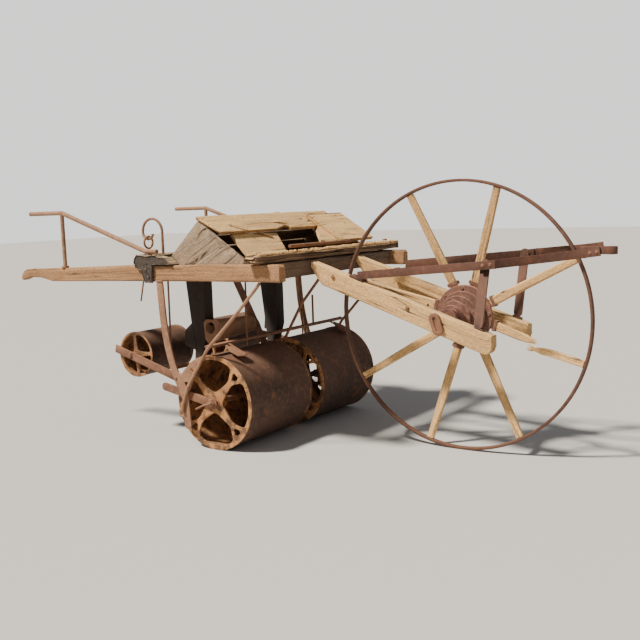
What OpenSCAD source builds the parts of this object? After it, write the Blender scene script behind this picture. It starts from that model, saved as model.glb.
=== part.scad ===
// Two-row ridge seed drill, drawn or pushed by hand, with a big spoked wheel in front.
// Millimetres. +X is forward, +Y is the left side, +Z is up.
// The pieces are drawn with the big wheel's axle over X = 0 and the ground at Z = 0.
// At the end of each line they are moved so that the origin is on the ground,
// half way between the tips of the handles and the front of the hitch eye.

/* [Big wheel] */
// Outer radius of the big wheel
wheel_r = 650; // [600:1:700]
// Radial thickness of the iron tyre
tyre_t = 14; // [10:1:20]
// Width of the iron tyre
tyre_w = 26; // [20:1:32]
// Radius where the spokes start, between the two flanges of the nave
nave_r = 92; // [84:1:98]
// Half length of the nave, from the wheel's middle to its end
nave_half = 138; // [125:1:142]
// Width of a spoke at the nave, in the plane of the wheel
spoke_w_nave = 50; // [40:1:52]
// Width of a spoke at the tyre
spoke_w_tyre = 40; // [30:1:46]
// Thickness of a spoke along the axle
spoke_t = 26; // [20:1:30]
// How far the spokes' feet lie to the left of the tyre's middle
dish = 73; // [55:1:80]
// Radius of the flange in front of the spokes' feet
flange_r = 146; // [130:1:160]
// Thickness of each of the two flanges
flange_t = 12; // [8:1:16]
// Radius of the big wheel's axle
axle_r = 16; // [12:0.5:20]

/* [Fork beams] */
// Distance from the middle to the outer face of a fork beam
fork_half = 240; // [235:1:260]
// Thickness of a fork beam
beam_t = 60; // [50:1:62]
// Depth of a fork beam, square to its slope
beam_h = 97; // [88:1:110]
// Slope of the fork beams below the level
beam_slope = 18.75; // [15:0.25:20]
// Height of the beam's top edge above the axle line at the axle
beam_over_axle = 44; // [36:1:52]
// How far the beam runs in front of the axle
beam_front = 270; // [220:1:300]
// Thickness of the liner plank on the inner face of a fork beam
liner_t = 26; // [18:1:28]

/* [Draught irons] */
// Height of a draught bar's section
bar_h = 38; // [30:1:45]
// Thickness of a draught bar
bar_t = 10; // [8:1:12]
// Height of the draught bars at their lap joint
draught_z = 915; // [890:1:940]
// How much higher the left draught bar lies than the right one
left_lift = 22; // [10:1:28]
// Height of the hitch eye above the wheel's axle
hitch_up = 315; // [290:1:340]
// Distance from the tyre's front to the middle of the hitch eye
hitch_ahead = 72; // [66:1:90]
// Radius of the hole in the hitch eye
hitch_bore_r = 14; // [10:0.5:18]
// Outer radius of the hitch eye
hitch_eye_r = 28; // [24:1:34]
// Thickness of the hitch eye
hitch_eye_t = 34; // [26:1:38]

/* [Wooden frame] */
// Distance from the middle of the drill to the middle of a handle
handle_y = 580; // [560:1:600]
// Thickness of a handle across the drill
handle_t = 52; // [44:1:60]
// Height of a handle's section at its front end
handle_h = 86; // [76:1:96]
// Height of the handle's top face where the cross beam lies on it
deck_z = 936; // [920:1:950]
// Distance from the big wheel's axle back to the tip of a handle
handle_reach = 2450; // [2350:1:2550]
// Depth of the cross beam from front to back
cross_depth = 100; // [80:1:110]
// Height of the cross beam
cross_h = 58; // [48:1:66]
// Half length of the cross beam
cross_half = 660; // [640:1:690]
// Distance from the big wheel's axle back to the front of the cross beam
cross_front = 690; // [670:1:710]
// Depth of the rear plank from front to back
rear_plank_depth = 165; // [155:1:190]
// Thickness of the rear plank
rear_plank_t = 55; // [44:1:60]

/* [Seed box] */
// Slope of the front roof of the box
roof_slope = 33; // [30:0.5:36]
// Slope of the back roof of the box
back_slope = 43; // [40:0.5:46]
// Thickness of the box's boards
board_t = 22; // [18:1:26]
// Distance from the big wheel's axle back to the front foot of the gable boards
box_front = 826; // [812:1:840]
// Length of the gable boards at their foot, from front to back
box_run = 540; // [500:1:560]
// Width of the ridge board down the slope
ridge_w = 138; // [128:1:150]

/* [Rollers] */
// Distance between the two rows
row_spacing = 626; // [610:1:640]
// Radius of a front roller
front_r = 240; // [225:1:250]
// Length of a front roller
front_len = 515; // [480:1:520]
// Distance from the big wheel's axle back to the front rollers' axle
front_back = 1075; // [1060:1:1090]
// Radius of a rear roller
rear_r = 123; // [110:1:130]
// Length of a rear roller
rear_len = 325; // [280:1:330]
// Distance from the big wheel's axle back to the rear rollers' axle
rear_back = 1700; // [1685:1:1720]
// Height of the rear rollers' axle above the ground
rear_z = 430; // [415:1:440]
// Thickness of a roller's cast iron wall
drum_wall = 7; // [5:1:12]
// Radius of the front rollers' axle
front_axle_r = 16; // [12:0.5:18]
// Radius of the rear rollers' axle
rear_axle_r = 12; // [9:0.5:14]

/* [Under frame irons] */
// Width of a leg, a side bar or the centre hanger
flat_w = 42; // [32:1:46]
// Thickness of a leg, a side bar or the centre hanger
flat_t = 10; // [8:1:11]
// Radius of a brace rod
brace_r = 8; // [6:0.5:9]
// Radius of a guide rod above the handles
guide_r = 12; // [9:0.5:13]
// Radius of a lift rod
lift_r = 5; // [4:0.5:6]
// Radius of the feed drum at its outer end
feed_r = 58; // [48:1:60]
// Height of the feed drum's axis
feed_z = 566; // [560:1:600]

/* [Hidden] */
$fn = 64;
// Play between a turning hole and its axle, and between a fixed pin and its hole
turn_play = 0.08;
seat_play = 0.2;

// Places that follow from the sizes above
handle_out = handle_y + handle_t / 2;
handle_in = handle_y - handle_t / 2;
beam_in = fork_half - beam_t;
row_y = row_spacing / 2;
front_out = row_y + front_len / 2;
front_in = row_y - front_len / 2;
rear_out = row_y + rear_len / 2;
rear_in = row_y - rear_len / 2;
hitch_x = wheel_r + hitch_ahead;
hitch_z = wheel_r + hitch_up;
hitch_front = hitch_x + hitch_eye_r;
origin_x = (hitch_front - handle_reach) / 2;

// Colours
wood = [0.62, 0.50, 0.36];
grey_wood = [0.52, 0.47, 0.40];
iron = [0.42, 0.27, 0.21];
dark_iron = [0.30, 0.20, 0.17];

// Tools for shapes

// A solid from a side view outline (x, z), between two places across the drill
module side_plate(y_from, y_to) {
  translate([0, y_to, 0]) rotate([90, 0, 0]) linear_extrude(y_to - y_from) children();
}

// The outline of a flat bar of width w along a list of points, with round ends
function ahead(p, i) = let (d = p[min(i + 1, len(p) - 1)] - p[min(i, len(p) - 2)]) d / norm(d);
function left_of(v) = [-v.y, v.x];
function corner(p, i) =
  let (a = left_of(ahead(p, max(i - 1, 0))), b = left_of(ahead(p, i)), m = (a + b) / norm(a + b))
  m / (m * a);
function bar_end(centre, way, w) =
  [for (t = [22.5 : 22.5 : 157.5]) centre + w / 2 * (cos(t) * left_of(way) + sin(t) * way)];

module stroke(p, w) {
  last = len(p) - 1;
  polygon(concat(
    [for (i = [0 : last]) p[i] + corner(p, i) * w / 2],
    bar_end(p[last], ahead(p, last), w),
    [for (i = [last : -1 : 0]) p[i] - corner(p, i) * w / 2],
    bar_end(p[0], -ahead(p, 0), w)
  ));
}

// A round rod through a list of points in space
module rod(points, r) {
  for (i = [0 : len(points) - 2]) {
    a = points[i];
    d = points[i + 1] - a;
    translate(a) rotate([0, acos(d.z / norm(d)), atan2(d.y, d.x)])
      cylinder(h = norm(d), r = r, $fn = 24);
    if (i > 0) translate(a) sphere(r = r * 1.03, $fn = 24);
  }
}

// A flat bar between two points: h is its upright height, t its thickness
module flat_bar(a, b, h, t) {
  d = b - a;
  run = norm([d.x, d.y]);
  translate(a) rotate([0, 0, atan2(d.y, d.x)]) rotate([0, -atan2(d.z, run), 0])
    translate([0, -t / 2, -h / 2]) cube([norm(d), t, h]);
}

// A cylinder across the drill
module across(x, z, y_from, y_to, r) {
  translate([x, y_to, z]) rotate([90, 0, 0]) cylinder(h = y_to - y_from, r = r);
}

// The same piece on the left side
module left_side() mirror([0, 1, 0]) children();

// Points of a smooth curve with three control points
function bend(a, b, c, n = 6) =
  [for (i = [0 : n]) let (t = i / n) (1 - t) * (1 - t) * a + 2 * t * (1 - t) * b + t * t * c];

// Handles

// The handle's top face is flat under the cross beam and under the rear plank
rear_plank_front = box_front + box_run + 6;
rear_plank_back = rear_plank_front + rear_plank_depth;
plank_seat_z = deck_z - 10;
handle_foot_z = deck_z - handle_h;
grip_z = deck_z - 66;
grip_r = 29;
handle_front = cross_front - 80;
taper_x = -2120;
taper_z = deck_z - 33;
function handle_top(x) =
  plank_seat_z + (taper_z - plank_seat_z) * (x + rear_plank_back + 15) / (taper_x + rear_plank_back + 15);

module handle() color(wood) {
  tip = -handle_reach + grip_r;
  side_plate(-handle_out, -handle_in) {
    polygon([
      [-handle_front, deck_z - 12],
      [-handle_front - 9, deck_z],
      [-cross_front - cross_depth - 30, deck_z],
      [-rear_plank_front + 105, plank_seat_z],
      [-rear_plank_back - 15, plank_seat_z],
      [taper_x, taper_z],
      [tip, grip_z + grip_r],
      [tip - 20, grip_z - 21],
      [-2330, deck_z - 99],
      [taper_x, deck_z - 100],
      [-box_back - 74, handle_foot_z],
      [-handle_front, handle_foot_z]
    ]);
    translate([tip, grip_z]) circle(r = grip_r);
  }
}

// Cross timbers

// Unevenness of the hewn cross beam's top: place along the beam as a share, height lost
hewn_top = [[-1, 16], [-0.82, 4], [-0.45, 10], [-0.1, 2], [0.3, 6], [0.62, 0], [0.9, 3], [1, 12]];

module cross_beam() color(wood) {
  back = -cross_front - cross_depth;
  intersection() {
    translate([back, 0, 0]) rotate([90, 0, 90]) linear_extrude(cross_depth)
      polygon(concat(
        [[-cross_half, deck_z]],
        [for (p = hewn_top) [p.x * cross_half, deck_z + cross_h - p.y]],
        [[cross_half, deck_z]]
      ));
    side_plate(-cross_half - 1, cross_half + 1)
      polygon([
        [back, deck_z], [back, deck_z + cross_h - 14], [back + 12, deck_z + cross_h],
        [-cross_front - 34, deck_z + cross_h], [-cross_front, deck_z + cross_h - 14],
        [-cross_front, deck_z]
      ]);
  }
}

module cross_sill() color(dark_iron) {
  back = -cross_front - cross_depth + 10;
  translate([back, -handle_in, deck_z - handle_h])
    cube([-cross_front - back, 2 * handle_in, handle_h]);
}

module rear_plank() color(grey_wood) {
  half = handle_out + 16;
  top = plank_seat_z + rear_plank_t;
  side_plate(-half, half)
    polygon([
      [-rear_plank_back + 6, plank_seat_z],
      [-rear_plank_back, plank_seat_z + 12],
      [-rear_plank_back + 4, top - 24],
      [-rear_plank_back + 26, top],
      [-rear_plank_front, top],
      [-rear_plank_front, plank_seat_z]
    ]);
  for (s = [-1, 1]) scale([1, s, 1]) {
    // The ends reach further forward over the handles, beside the box
    side_plate(handle_in + 1, half)
      polygon([
        [-rear_plank_front - 1, plank_seat_z], [-rear_plank_front - 1, top],
        [-rear_plank_front + 12, top - 8], [-rear_plank_front + 62, top - 12],
        [-rear_plank_front + 74, top - 26], [-rear_plank_front + 98, plank_seat_z + 8],
        [-rear_plank_front + 100, plank_seat_z]
      ]);
    // Cleats that hang over the outer faces of the handles
    side_plate(handle_out, handle_out + 16)
      polygon([
        [-rear_plank_back + 7, plank_seat_z + 1], [-rear_plank_back + 16, plank_seat_z - 20],
        [-rear_plank_back + 52, plank_seat_z - 29], [-rear_plank_back + 76, plank_seat_z - 91],
        [-rear_plank_front - 33, plank_seat_z - 91], [-rear_plank_front - 28, plank_seat_z + 1]
      ]);
  }
}

// Fork beams

beam_top_z = wheel_r + beam_over_axle;
beam_drop = tan(beam_slope);
beam_v = beam_h / cos(beam_slope);
function beam_top(x) = beam_top_z - beam_drop * x;
function beam_foot(x) = beam_top(x) - beam_v;
beam_end_r = 46;

module fork_beam() color(wood) {
  end_z = beam_foot(beam_front - beam_end_r) + beam_end_r / cos(beam_slope);
  difference() {
    union() {
      side_plate(-fork_half, -beam_in) {
        polygon([
          [-cross_front, beam_top(-cross_front)],
          [beam_front, beam_top(beam_front)],
          [beam_front, end_z],
          [beam_front - beam_end_r, beam_foot(beam_front - beam_end_r)],
          [-cross_front + 62, beam_foot(-cross_front + 62)],
          [-cross_front, beam_foot(-cross_front) + 66]
        ]);
        translate([beam_front - beam_end_r, end_z]) circle(r = beam_end_r);
      }
      // Liner plank on the inner face, a little higher than the beam
      side_plate(-beam_in, -beam_in + liner_t)
        polygon([
          [-450, beam_top(-450)], [-430, beam_top(-430) + 7],
          [-78, beam_top(-78) + 7], [-78, beam_top(-78) - 52],
          [-450, beam_top(-450) - 52]
        ]);
    }
    across(0, wheel_r, -fork_half - 1, -beam_in + liner_t + 1, axle_r + seat_play);
  }
}

// Draught irons

draught_rear_x = -418;
draught_rear_z = beam_top(draught_rear_x) + 22;
draught_lap_x = 262;
draught_y = fork_half - 5;
draught_front_y = draught_y + bar_t;
draught_tip_y = (hitch_eye_t + bar_t) / 2 + 0.8;

// One draught bar: lift is how much higher it lies than the right one
module draught_bar(lift) color(iron) {
  up = [0, 0, lift];
  flat_bar([draught_rear_x, -draught_y, draught_rear_z] + up,
    [draught_lap_x + 22, -draught_y, draught_z + 1] + up, bar_h, bar_t);
  // The front half starts beside the rear half, so the joint is a lap, and turns in to the eye
  path = [
    [draught_lap_x - 42, -draught_front_y, draught_z - 4] + up,
    [draught_lap_x + 30, -draught_front_y, draught_z + 3] + up,
    [hitch_x - 108, -draught_tip_y, hitch_z - 14] + up,
    [hitch_x - 40, -draught_tip_y, hitch_z - 5] + up
  ];
  for (i = [0 : 2]) flat_bar(path[i], path[i + 1], bar_h, bar_t);
  for (i = [1, 2]) translate(path[i]) cylinder(h = bar_h + 2, d = bar_t + 1, center = true, $fn = 24);
  // The rear end is forged flat and lies on the beam
  translate([draught_rear_x - 12, 0, beam_top(draught_rear_x - 12)])
    rotate([0, beam_slope, 0]) {
      translate([-40, -fork_half + 2, 0.2]) cube([78, 46, 9]);
      translate([2, -draught_y - bar_t / 2 + 0.5, 1]) cube([34, bar_t - 1, 16 + lift]);
    }
}

module draught_strut(lift) color(iron) {
  y_in = draught_y - bar_t / 2;
  foot_x = 203;
  foot_z = beam_top(foot_x);
  side_plate(-y_in, -y_in + bar_t)
    stroke([[draught_lap_x - 22, draught_z + 2 + lift], [foot_x, foot_z + 25]], flat_w);
  translate([foot_x, 0, foot_z]) rotate([0, beam_slope, 0])
    translate([-24, -y_in, 0.2]) cube([46, 22, 7]);
}

module hitch_eye() color(iron) {
  difference() {
    union() {
      translate([hitch_x, 0, hitch_z]) cylinder(h = hitch_eye_t, r = hitch_eye_r, center = true);
      translate([hitch_x - 130, -hitch_eye_t / 2, hitch_z - hitch_eye_t / 2])
        cube([130, hitch_eye_t, hitch_eye_t]);
    }
    translate([hitch_x, 0, hitch_z]) cylinder(h = 2 * hitch_eye_t, r = hitch_bore_r, center = true);
  }
}

// Guide rods over the handles

guide_y = handle_out - 16;
guide_top = deck_z + 267;

module guide_rod() color(iron) {
  plank_top = plank_seat_z + rear_plank_t;
  post_x = -2088;
  post_z = handle_top(post_x) + 1;
  rod([
    [-2350, -guide_y, guide_top],
    [post_x, -guide_y, guide_top],
    [-1502, -guide_y, plank_top + 24],
    [-1468, -guide_y, plank_top + guide_r + 0.5],
    [-1390, -guide_y, plank_top + guide_r + 0.3]
  ], guide_r);
  translate([post_x, -guide_y, post_z]) cylinder(h = guide_top - post_z, r = guide_r - 1);
  translate([post_x, -guide_y, post_z]) cylinder(h = 10, r = 20);
}

// Lift hooks on the rear plank, with a link hanging on each

hook_r = 68;
curl_r = 36;
hook_wire = 7;
link_r = 30;
link_wire = 5.5;
hook_y = handle_in - 20;

// Part of a ring of round wire that stands upright along the drill
module wire_arc(x, z, r, wire, from, turn)
  translate([x, -hook_y, z]) rotate([90, 0, 0]) rotate([0, 0, from])
    rotate_extrude(angle = turn) translate([r, 0]) circle(r = wire, $fn = 24);

module lift_hook() color(iron) {
  plank_top = plank_seat_z + rear_plank_t;
  stem_x = -rear_plank_front - 28;
  arc_z = plank_top + 110;
  curl_x = stem_x - 2 * hook_r + curl_r;
  translate([stem_x, -hook_y, plank_top]) cylinder(h = arc_z - plank_top, r = hook_wire);
  wire_arc(stem_x - hook_r, arc_z, hook_r, hook_wire, 0, 180);
  wire_arc(curl_x, arc_z, curl_r, hook_wire, 180, 165);
  // A link hangs in the curl
  translate([curl_x, -hook_y, arc_z - curl_r + hook_wire + 0.3 - link_r + link_wire]) rotate([0, 90, 0])
    rotate_extrude() translate([link_r, 0]) circle(r = link_wire, $fn = 24);
}

// Seed box

box_out = handle_in;
box_in = box_out - board_t;
box_back = box_front + box_run;
// The ridge lies where the two slopes meet
ridge_run = box_run * tan(back_slope) / (tan(roof_slope) + tan(back_slope));
ridge_x = -box_front - ridge_run;
ridge_z = deck_z + ridge_run * tan(roof_slope);
floor_z = deck_z - handle_h;
function roof_at(x) = ridge_z - (x - ridge_x) * tan(roof_slope);

module box_end() color(grey_wood)
  side_plate(-box_out, -box_in)
    polygon([
      [-box_front, floor_z], [-box_front, deck_z], [ridge_x, ridge_z],
      [-box_back, deck_z], [-box_back, floor_z]
    ]);

// A board that lies on the front roof: from and to are measured down the slope
module roof_board(y_from, y_to, from, to, lift, t) {
  translate([ridge_x, y_from, ridge_z]) rotate([0, roof_slope, 0])
    translate([from, 0, lift]) cube([to - from, y_to - y_from, t]);
}

module ridge_board() color(wood)
  difference() {
    roof_board(-box_out - 10, box_out + 10, -14, ridge_w, 0, board_t);
    // A split chip at the lower edge
    translate([ridge_x, 0, ridge_z]) rotate([0, roof_slope, 0])
      translate([ridge_w - 26, -40, -1]) linear_extrude(board_t + 2)
        polygon([[0, 70], [30, -40], [30, 100], [8, 100]]);
  }

module front_panel_left() color(wood) {
  roof_board(row_y - 18, box_out + 84, 50, 318, board_t, board_t);
  // A skewed board under the panel, in line with the ridge board
  translate([ridge_x, 0, ridge_z]) rotate([0, roof_slope, 0]) translate([0, 0, 0.4])
    linear_extrude(board_t + 0.6)
      polygon([
        [ridge_w + 2, box_in - 6], [ridge_w + 2, row_y - 5], [ridge_w + 30, row_y - 51],
        [ridge_w + 137, row_y - 143], [ridge_w + 160, row_y - 110], [ridge_w + 160, box_in - 6]
      ]);
}

// The right hand panel has slipped: its upper edge is caught under the ridge board,
// and its foot stands on the rail at the front of the box
panel_slope = 36;
panel_len = 200;
catch_down = ridge_w - 20;
catch_x = ridge_x + catch_down * cos(roof_slope);
catch_z = ridge_z - catch_down * sin(roof_slope) - 0.4;
rail_x = catch_x + panel_len * cos(panel_slope) - board_t * sin(panel_slope);
rail_top = catch_z - panel_len * sin(panel_slope) - board_t * cos(panel_slope) - 0.3;

module front_panel_right() color(wood)
  translate([catch_x, 0, catch_z]) rotate([0, panel_slope, 0]) translate([0, 0, -board_t])
    linear_extrude(board_t)
      polygon([[0, -418], [24, -59], [panel_len - 6, -150], [panel_len, -474]]);

module back_roof_board() color(grey_wood) {
  run = ridge_run / cos(roof_slope);
  back_run = (box_run - ridge_run) / cos(back_slope);
  translate([ridge_x, -box_in, ridge_z]) rotate([0, 180 - back_slope, 0])
    translate([6, 0, 0]) cube([back_run - 4, 2 * box_in, board_t]);
}

module box_floor() color(dark_iron)
  difference() {
    translate([-box_back, -box_in, floor_z]) cube([box_run, 2 * box_in, board_t]);
    // Holes that let the seed fall into the spouts
    for (y = [-row_y, row_y])
      translate([-spout_mouth_front - 54, y - 25, floor_z - 1]) cube([48, 50, board_t + 2]);
  }

// The rail at the front of the box and the bearer behind it
module box_rails() color(dark_iron) {
  rail_z = floor_z + board_t + 0.2;
  bearer_w = 38;
  translate([rail_x - board_t / 2, -box_in, rail_z]) cube([board_t, 2 * box_in, rail_top - rail_z]);
  translate([-box_back - bearer_w, -handle_in, floor_z]) cube([bearer_w, 2 * handle_in, 60]);
}

// A loose rod lies on the cross beam, in front of the open hatch
rod_r = 9;
rod_back = cross_front + cross_depth - 24;
rod_z = deck_z + cross_h + rod_r;

module hatch_rod() color(iron)
  rod([[-rod_back, -305, rod_z + 0.2], [-rod_back, 250, rod_z - 3.2]], rod_r);

// Seed spouts with their coulters

spout_t = 70;
spout_wall = 4;
spout_front = front_back + front_r + 16;
spout_mouth_front = spout_front - 25;
spout_mouth = 124;
spout_foot_z = 420;

module seed_spout() color(dark_iron) {
  knee_z = spout_foot_z + 100;
  outer = [
    [-spout_mouth_front - spout_mouth, floor_z], [-spout_mouth_front, floor_z],
    [-spout_mouth_front, knee_z], [-spout_front - 6, spout_foot_z], [-spout_front - 50, spout_foot_z]
  ];
  inner = [
    [-spout_mouth_front - spout_mouth + spout_wall, floor_z + 1],
    [-spout_mouth_front - spout_wall, floor_z + 1],
    [-spout_mouth_front - spout_wall, knee_z + 1],
    [-spout_front - 6 - spout_wall, spout_foot_z - 1],
    [-spout_front - 50 + spout_wall, spout_foot_z - 1]
  ];
  difference() {
    side_plate(-row_y - spout_t / 2, -row_y + spout_t / 2) polygon(outer);
    side_plate(-row_y - spout_t / 2 + spout_wall, -row_y + spout_t / 2 - spout_wall)
      polygon(inner);
  }
  // Coulter blade under the spout
  for (y = [-row_y - spout_t / 2 - 3, -row_y + spout_t / 2 - 3])
    side_plate(y, y + 6)
      polygon([
        [-spout_front - 52, 440], [-spout_front - 6, 440], [-spout_front - 8, 120],
        [-spout_front - 20, 62], [-spout_front - 44, 46], [-spout_front - 66, 90]
      ]);
  // Wing plates behind the spout
  side_plate(-row_y - spout_t / 2 - 2, -row_y - spout_t / 2 + 2)
    polygon([
      [-spout_front - 66, 600], [-spout_front - 116, 560],
      [-spout_front - 126, 480], [-spout_front - 40, 452]
    ]);
}

// Feed drum in front of the right hand spout; the left one is missing. It hangs on an end
// plate that lies on the spout's side, with a round hole into the drum
feed_x = -spout_mouth_front + feed_r + 3;
feed_mouth_r = 31;

module feed_drum() color(dark_iron) {
  plate_t = 5;
  inner_end = 45;
  plate_in = row_y + spout_t / 2 + 0.3;
  scale([1, -1, 1])
    difference() {
      union() {
        translate([feed_x, plate_in + 0.5, feed_z]) rotate([90, 0, 0])
          cylinder(h = plate_in + 0.5 - inner_end, r1 = feed_r, r2 = feed_r - 14);
        side_plate(plate_in, plate_in + plate_t)
          polygon([
            [feed_x + 38, feed_z + 58], [feed_x + 34, feed_z - 6], [feed_x - 4, feed_z - 90],
            [feed_x - 24, feed_z - 86], [feed_x - 60, feed_z - 48], [feed_x - 66, feed_z + 40],
            [feed_x - 48, feed_z + 58]
          ]);
      }
      across(feed_x - 22, feed_z + 14, plate_in - 60, plate_in + plate_t + 1, feed_mouth_r);
    }
}

// Legs, braces and hangers under the frame

leg_y = handle_out - 6;
leg_curve = bend([-box_back - 2, 700], [-box_back + 14, 430], [-front_back - 165, front_r + 22], 8);
leg_line = concat(
  [[-box_back - 10, handle_foot_z - flat_w / 2 - 0.5]],
  leg_curve,
  [[-front_back - 156, 116]]
);

// Forged web between the leg and its brace with two three-cornered holes, and the eye
// behind the foot: places from the front axle
leg_axle = [-front_back, front_r];
leg_web = concat(
  [leg_curve[5] - leg_axle],
  [[-187, 134], [-156, 166], [-120, 192], [-78, 220], [-31, 239], [-60, 186], [-97, 133], [-129, 69]],
  [leg_curve[8] - leg_axle]
);
web_holes = [
  [[-122, 167], [-101, 178], [-103, 148]],
  [[-167, 97], [-140, 99], [-155, 72]]
];
foot_eye = [-190, -64];

module leg() color(iron) {
  side_plate(-leg_y, -leg_y + flat_t) difference() {
    union() {
      stroke(leg_line, flat_w);
      translate(leg_axle) polygon(leg_web);
      translate(leg_axle + foot_eye) circle(r = 25);
    }
    for (hole = web_holes) translate(leg_axle) polygon(hole);
    translate(leg_axle + foot_eye) circle(r = 11);
  }
  // Foot plate under the handle
  translate([-box_back - 48, -handle_out + 1, handle_foot_z - 8]) cube([60, handle_t - 2, 8]);
}

module brace_rod() color(iron) {
  y_out = -leg_y - brace_r - 0.5;
  y_top = -handle_y;
  rod([
    [-746, y_top, handle_foot_z - 5.6],
    [-772, y_top - 4, 814],
    [-875, y_top - 12, 706],
    [-1036, y_out, 546],
    [-1071, y_out, 511],
    [-1210, y_out, 314],
    [-1246, y_out, 226],
    [-1253, y_out, 180]
  ], brace_r);
}

module centre_hanger() color(iron) {
  difference() {
    side_plate(-flat_t / 2, flat_t / 2) {
      stroke([[-box_back - 20, floor_z - flat_w / 2 - 0.5], [-front_back, front_r]], flat_w);
      translate([-front_back, front_r]) circle(r = 34);
    }
    across(-front_back, front_r, -flat_t, flat_t, front_axle_r + seat_play);
  }
  translate([-box_back - 52, -30, floor_z - 8]) cube([70, 60, 8]);
  // Centre brace rod, up to the sill
  y = flat_t / 2 + brace_r + 0.3;
  rod([
    [-790, y, handle_foot_z - 6], [-936, y, 678], [-1046, y, 500], [-1124, y, 352]
  ], brace_r);
}

module front_axle() color(dark_iron) {
  across(-front_back, front_r, -leg_y - 4, leg_y + 4, front_axle_r);
  // Collars keep the rollers apart from the bars
  for (s = [-1, 1]) scale([1, s, 1]) {
    across(-front_back, front_r, flat_t / 2 + 0.3, front_in - 2, front_axle_r + 9);
  }
}

tie_z = 525;
leg_tie = leg_curve[5];
leg_tie_r = 9;

tie_post_h = 165;

// A flat bar over the front rollers with two posts on it, and a round one between the legs
module cross_ties() color(dark_iron) {
  translate([-front_back - 16, -leg_y - 0.2, tie_z - 6]) cube([34, 2 * leg_y + 0.4, 12]);
  for (y = [-row_y + 13, row_y - 13])
    translate([-front_back + 10, y, tie_z + 5]) cylinder(h = tie_post_h, r = 6);
  across(leg_tie.x, leg_tie.y, -leg_y + flat_t, leg_y - flat_t, leg_tie_r);
}

// Trailing side bars

side_y = leg_y - flat_t;
module side_bar() color(iron) {
  // Lower bar from the front axle back past the leg
  difference() {
    side_plate(-side_y, -side_y + 9) {
      stroke([[-1385, 300], [-front_back, front_r]], flat_w);
      translate([-front_back, front_r]) circle(r = 32);
    }
    across(-front_back, front_r, -side_y - 1, -side_y + 10, front_axle_r + seat_play);
  }
  // Upper bar from the leg back to the rear axle and past it
  front = [-1290, -side_y + 7.5, 349];
  axle = [-rear_back, -rear_out - 36, rear_z];
  d = axle - front;
  difference() {
    flat_bar(front + d * 1.34, front - d * 0.03, flat_w, 9);
    across(-rear_back, rear_z, -handle_out, -rear_in, rear_axle_r + seat_play);
  }
}

module rear_axle() color(dark_iron) {
  across(-rear_back, rear_z, -rear_out - 52, rear_out + 52, rear_axle_r);
  across(-rear_back, rear_z, -rear_in + 6, rear_in - 6, rear_axle_r + 6);
}

module lift_rods() color(iron) {
  foot_z = 360.3 + flat_w / 2;
  for (s = [-1, 1])
    rod([[-1345, s * (handle_in + 14), handle_foot_z - 0.6], [-1340, s * (side_y - 12), foot_z]], lift_r);
  x = leg_tie.x - leg_tie_r - lift_r - 0.3;
  rod([[x, 24, floor_z - 0.3], [x, 24, leg_tie.y - 8]], lift_r);
}

// A pointed scraper blade over each front roller, on an arm from the tie bar
module scrapers() color(iron)
  for (s = [-1, 1]) scale([1, s, 1])
    translate([-front_back + 18.2, front_out - 120, tie_z - 4]) rotate([0, 24, 0]) {
      cube([118, 12, 5]);
      translate([0, 6, -4]) linear_extrude(4.5)
        polygon([[4, 34], [26, 6], [60, -12], [112, -22], [122, 10], [112, 52], [60, 58]]);
    }

// Big wheel

// An oval plate with a slot covers each end of the axle
plate_lean = 19;
plate_t = 14;

module main_axle() color(dark_iron) {
  middle = [3, wheel_r - 8];
  up = [-sin(plate_lean), cos(plate_lean)];
  across(0, wheel_r, -fork_half - 4, fork_half + 4, axle_r);
  for (s = [-1, 1]) scale([1, s, 1])
    difference() {
      side_plate(fork_half + 0.2, fork_half + plate_t)
        stroke([middle - 26 * up, middle + 26 * up], 54);
      side_plate(fork_half + 6, fork_half + plate_t + 1)
        stroke([middle - 27 * up, middle + 27 * up], 16);
    }
}

module wheel_rim() color(iron)
  translate([0, 0, wheel_r]) rotate([90, 0, 0])
    rotate_extrude($fn = 120) translate([wheel_r - tyre_t, -tyre_w / 2]) square([tyre_t, tyre_w]);

// Spokes: angle above the forward line, and the radii where the piece starts and ends
tyre_in = wheel_r - tyre_t;
break_r = 378;
whole_spokes = [113.7, 71.8, 25.7, -61.7, -105.4, -148.7, 165];
broken_spoke = -17;

// The side view of every spoke: straight between the flanges, then leaning in to the tyre
lean = [
  [nave_r, dish - spoke_t / 2], [flange_r + 4, dish - spoke_t / 2], [wheel_r, -spoke_t / 2],
  [wheel_r, spoke_t / 2], [flange_r + 4, dish + spoke_t / 2], [nave_r, dish + spoke_t / 2]
];

// One spoke of the dished wheel from its outline square to the axle
module dished(angle)
  rotate([0, -angle, 0]) intersection() {
    side_plate(-spoke_t, dish + spoke_t) intersection() {
      children();
      circle(r = tyre_in, $fn = 120);
    }
    translate([0, 0, -spoke_w_nave]) linear_extrude(2 * spoke_w_nave) polygon(lean);
  }

module wheel_spokes() color(wood)
  translate([0, 0, wheel_r]) {
    w = spoke_w_nave / 2;
    for (a = whole_spokes) dished(a)
      polygon([[nave_r - 1, -w], [wheel_r, -spoke_w_tyre / 2], [wheel_r, spoke_w_tyre / 2], [nave_r - 1, w]]);
    // The broken spoke: a stub at the nave and a loose half that sags from the tyre
    dished(broken_spoke) polygon([
      [nave_r - 1, -w], [break_r - 30, 2 - w], [break_r - 8, -12], [break_r, 4],
      [break_r - 22, w - 3], [nave_r - 1, w]
    ]);
    dished(broken_spoke) translate([wheel_r, -4]) rotate(5) polygon([
      [0, -20], [-230, -22], [-262, -8], [-248, 6], [-236, 21], [0, 20]
    ]);
  }

// Lips of the rope pulley cast on the near side of the nave:
// radius of the groove before the lip, place where the lip starts, radius of the lip
pulley_lips = [[104, -34, 118], [84, 8, 100], [66, 46, 81], [50, 78, 63]];
lip_t = 10;
nave_end_r = 50;
nave_end_t = 14;

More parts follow.
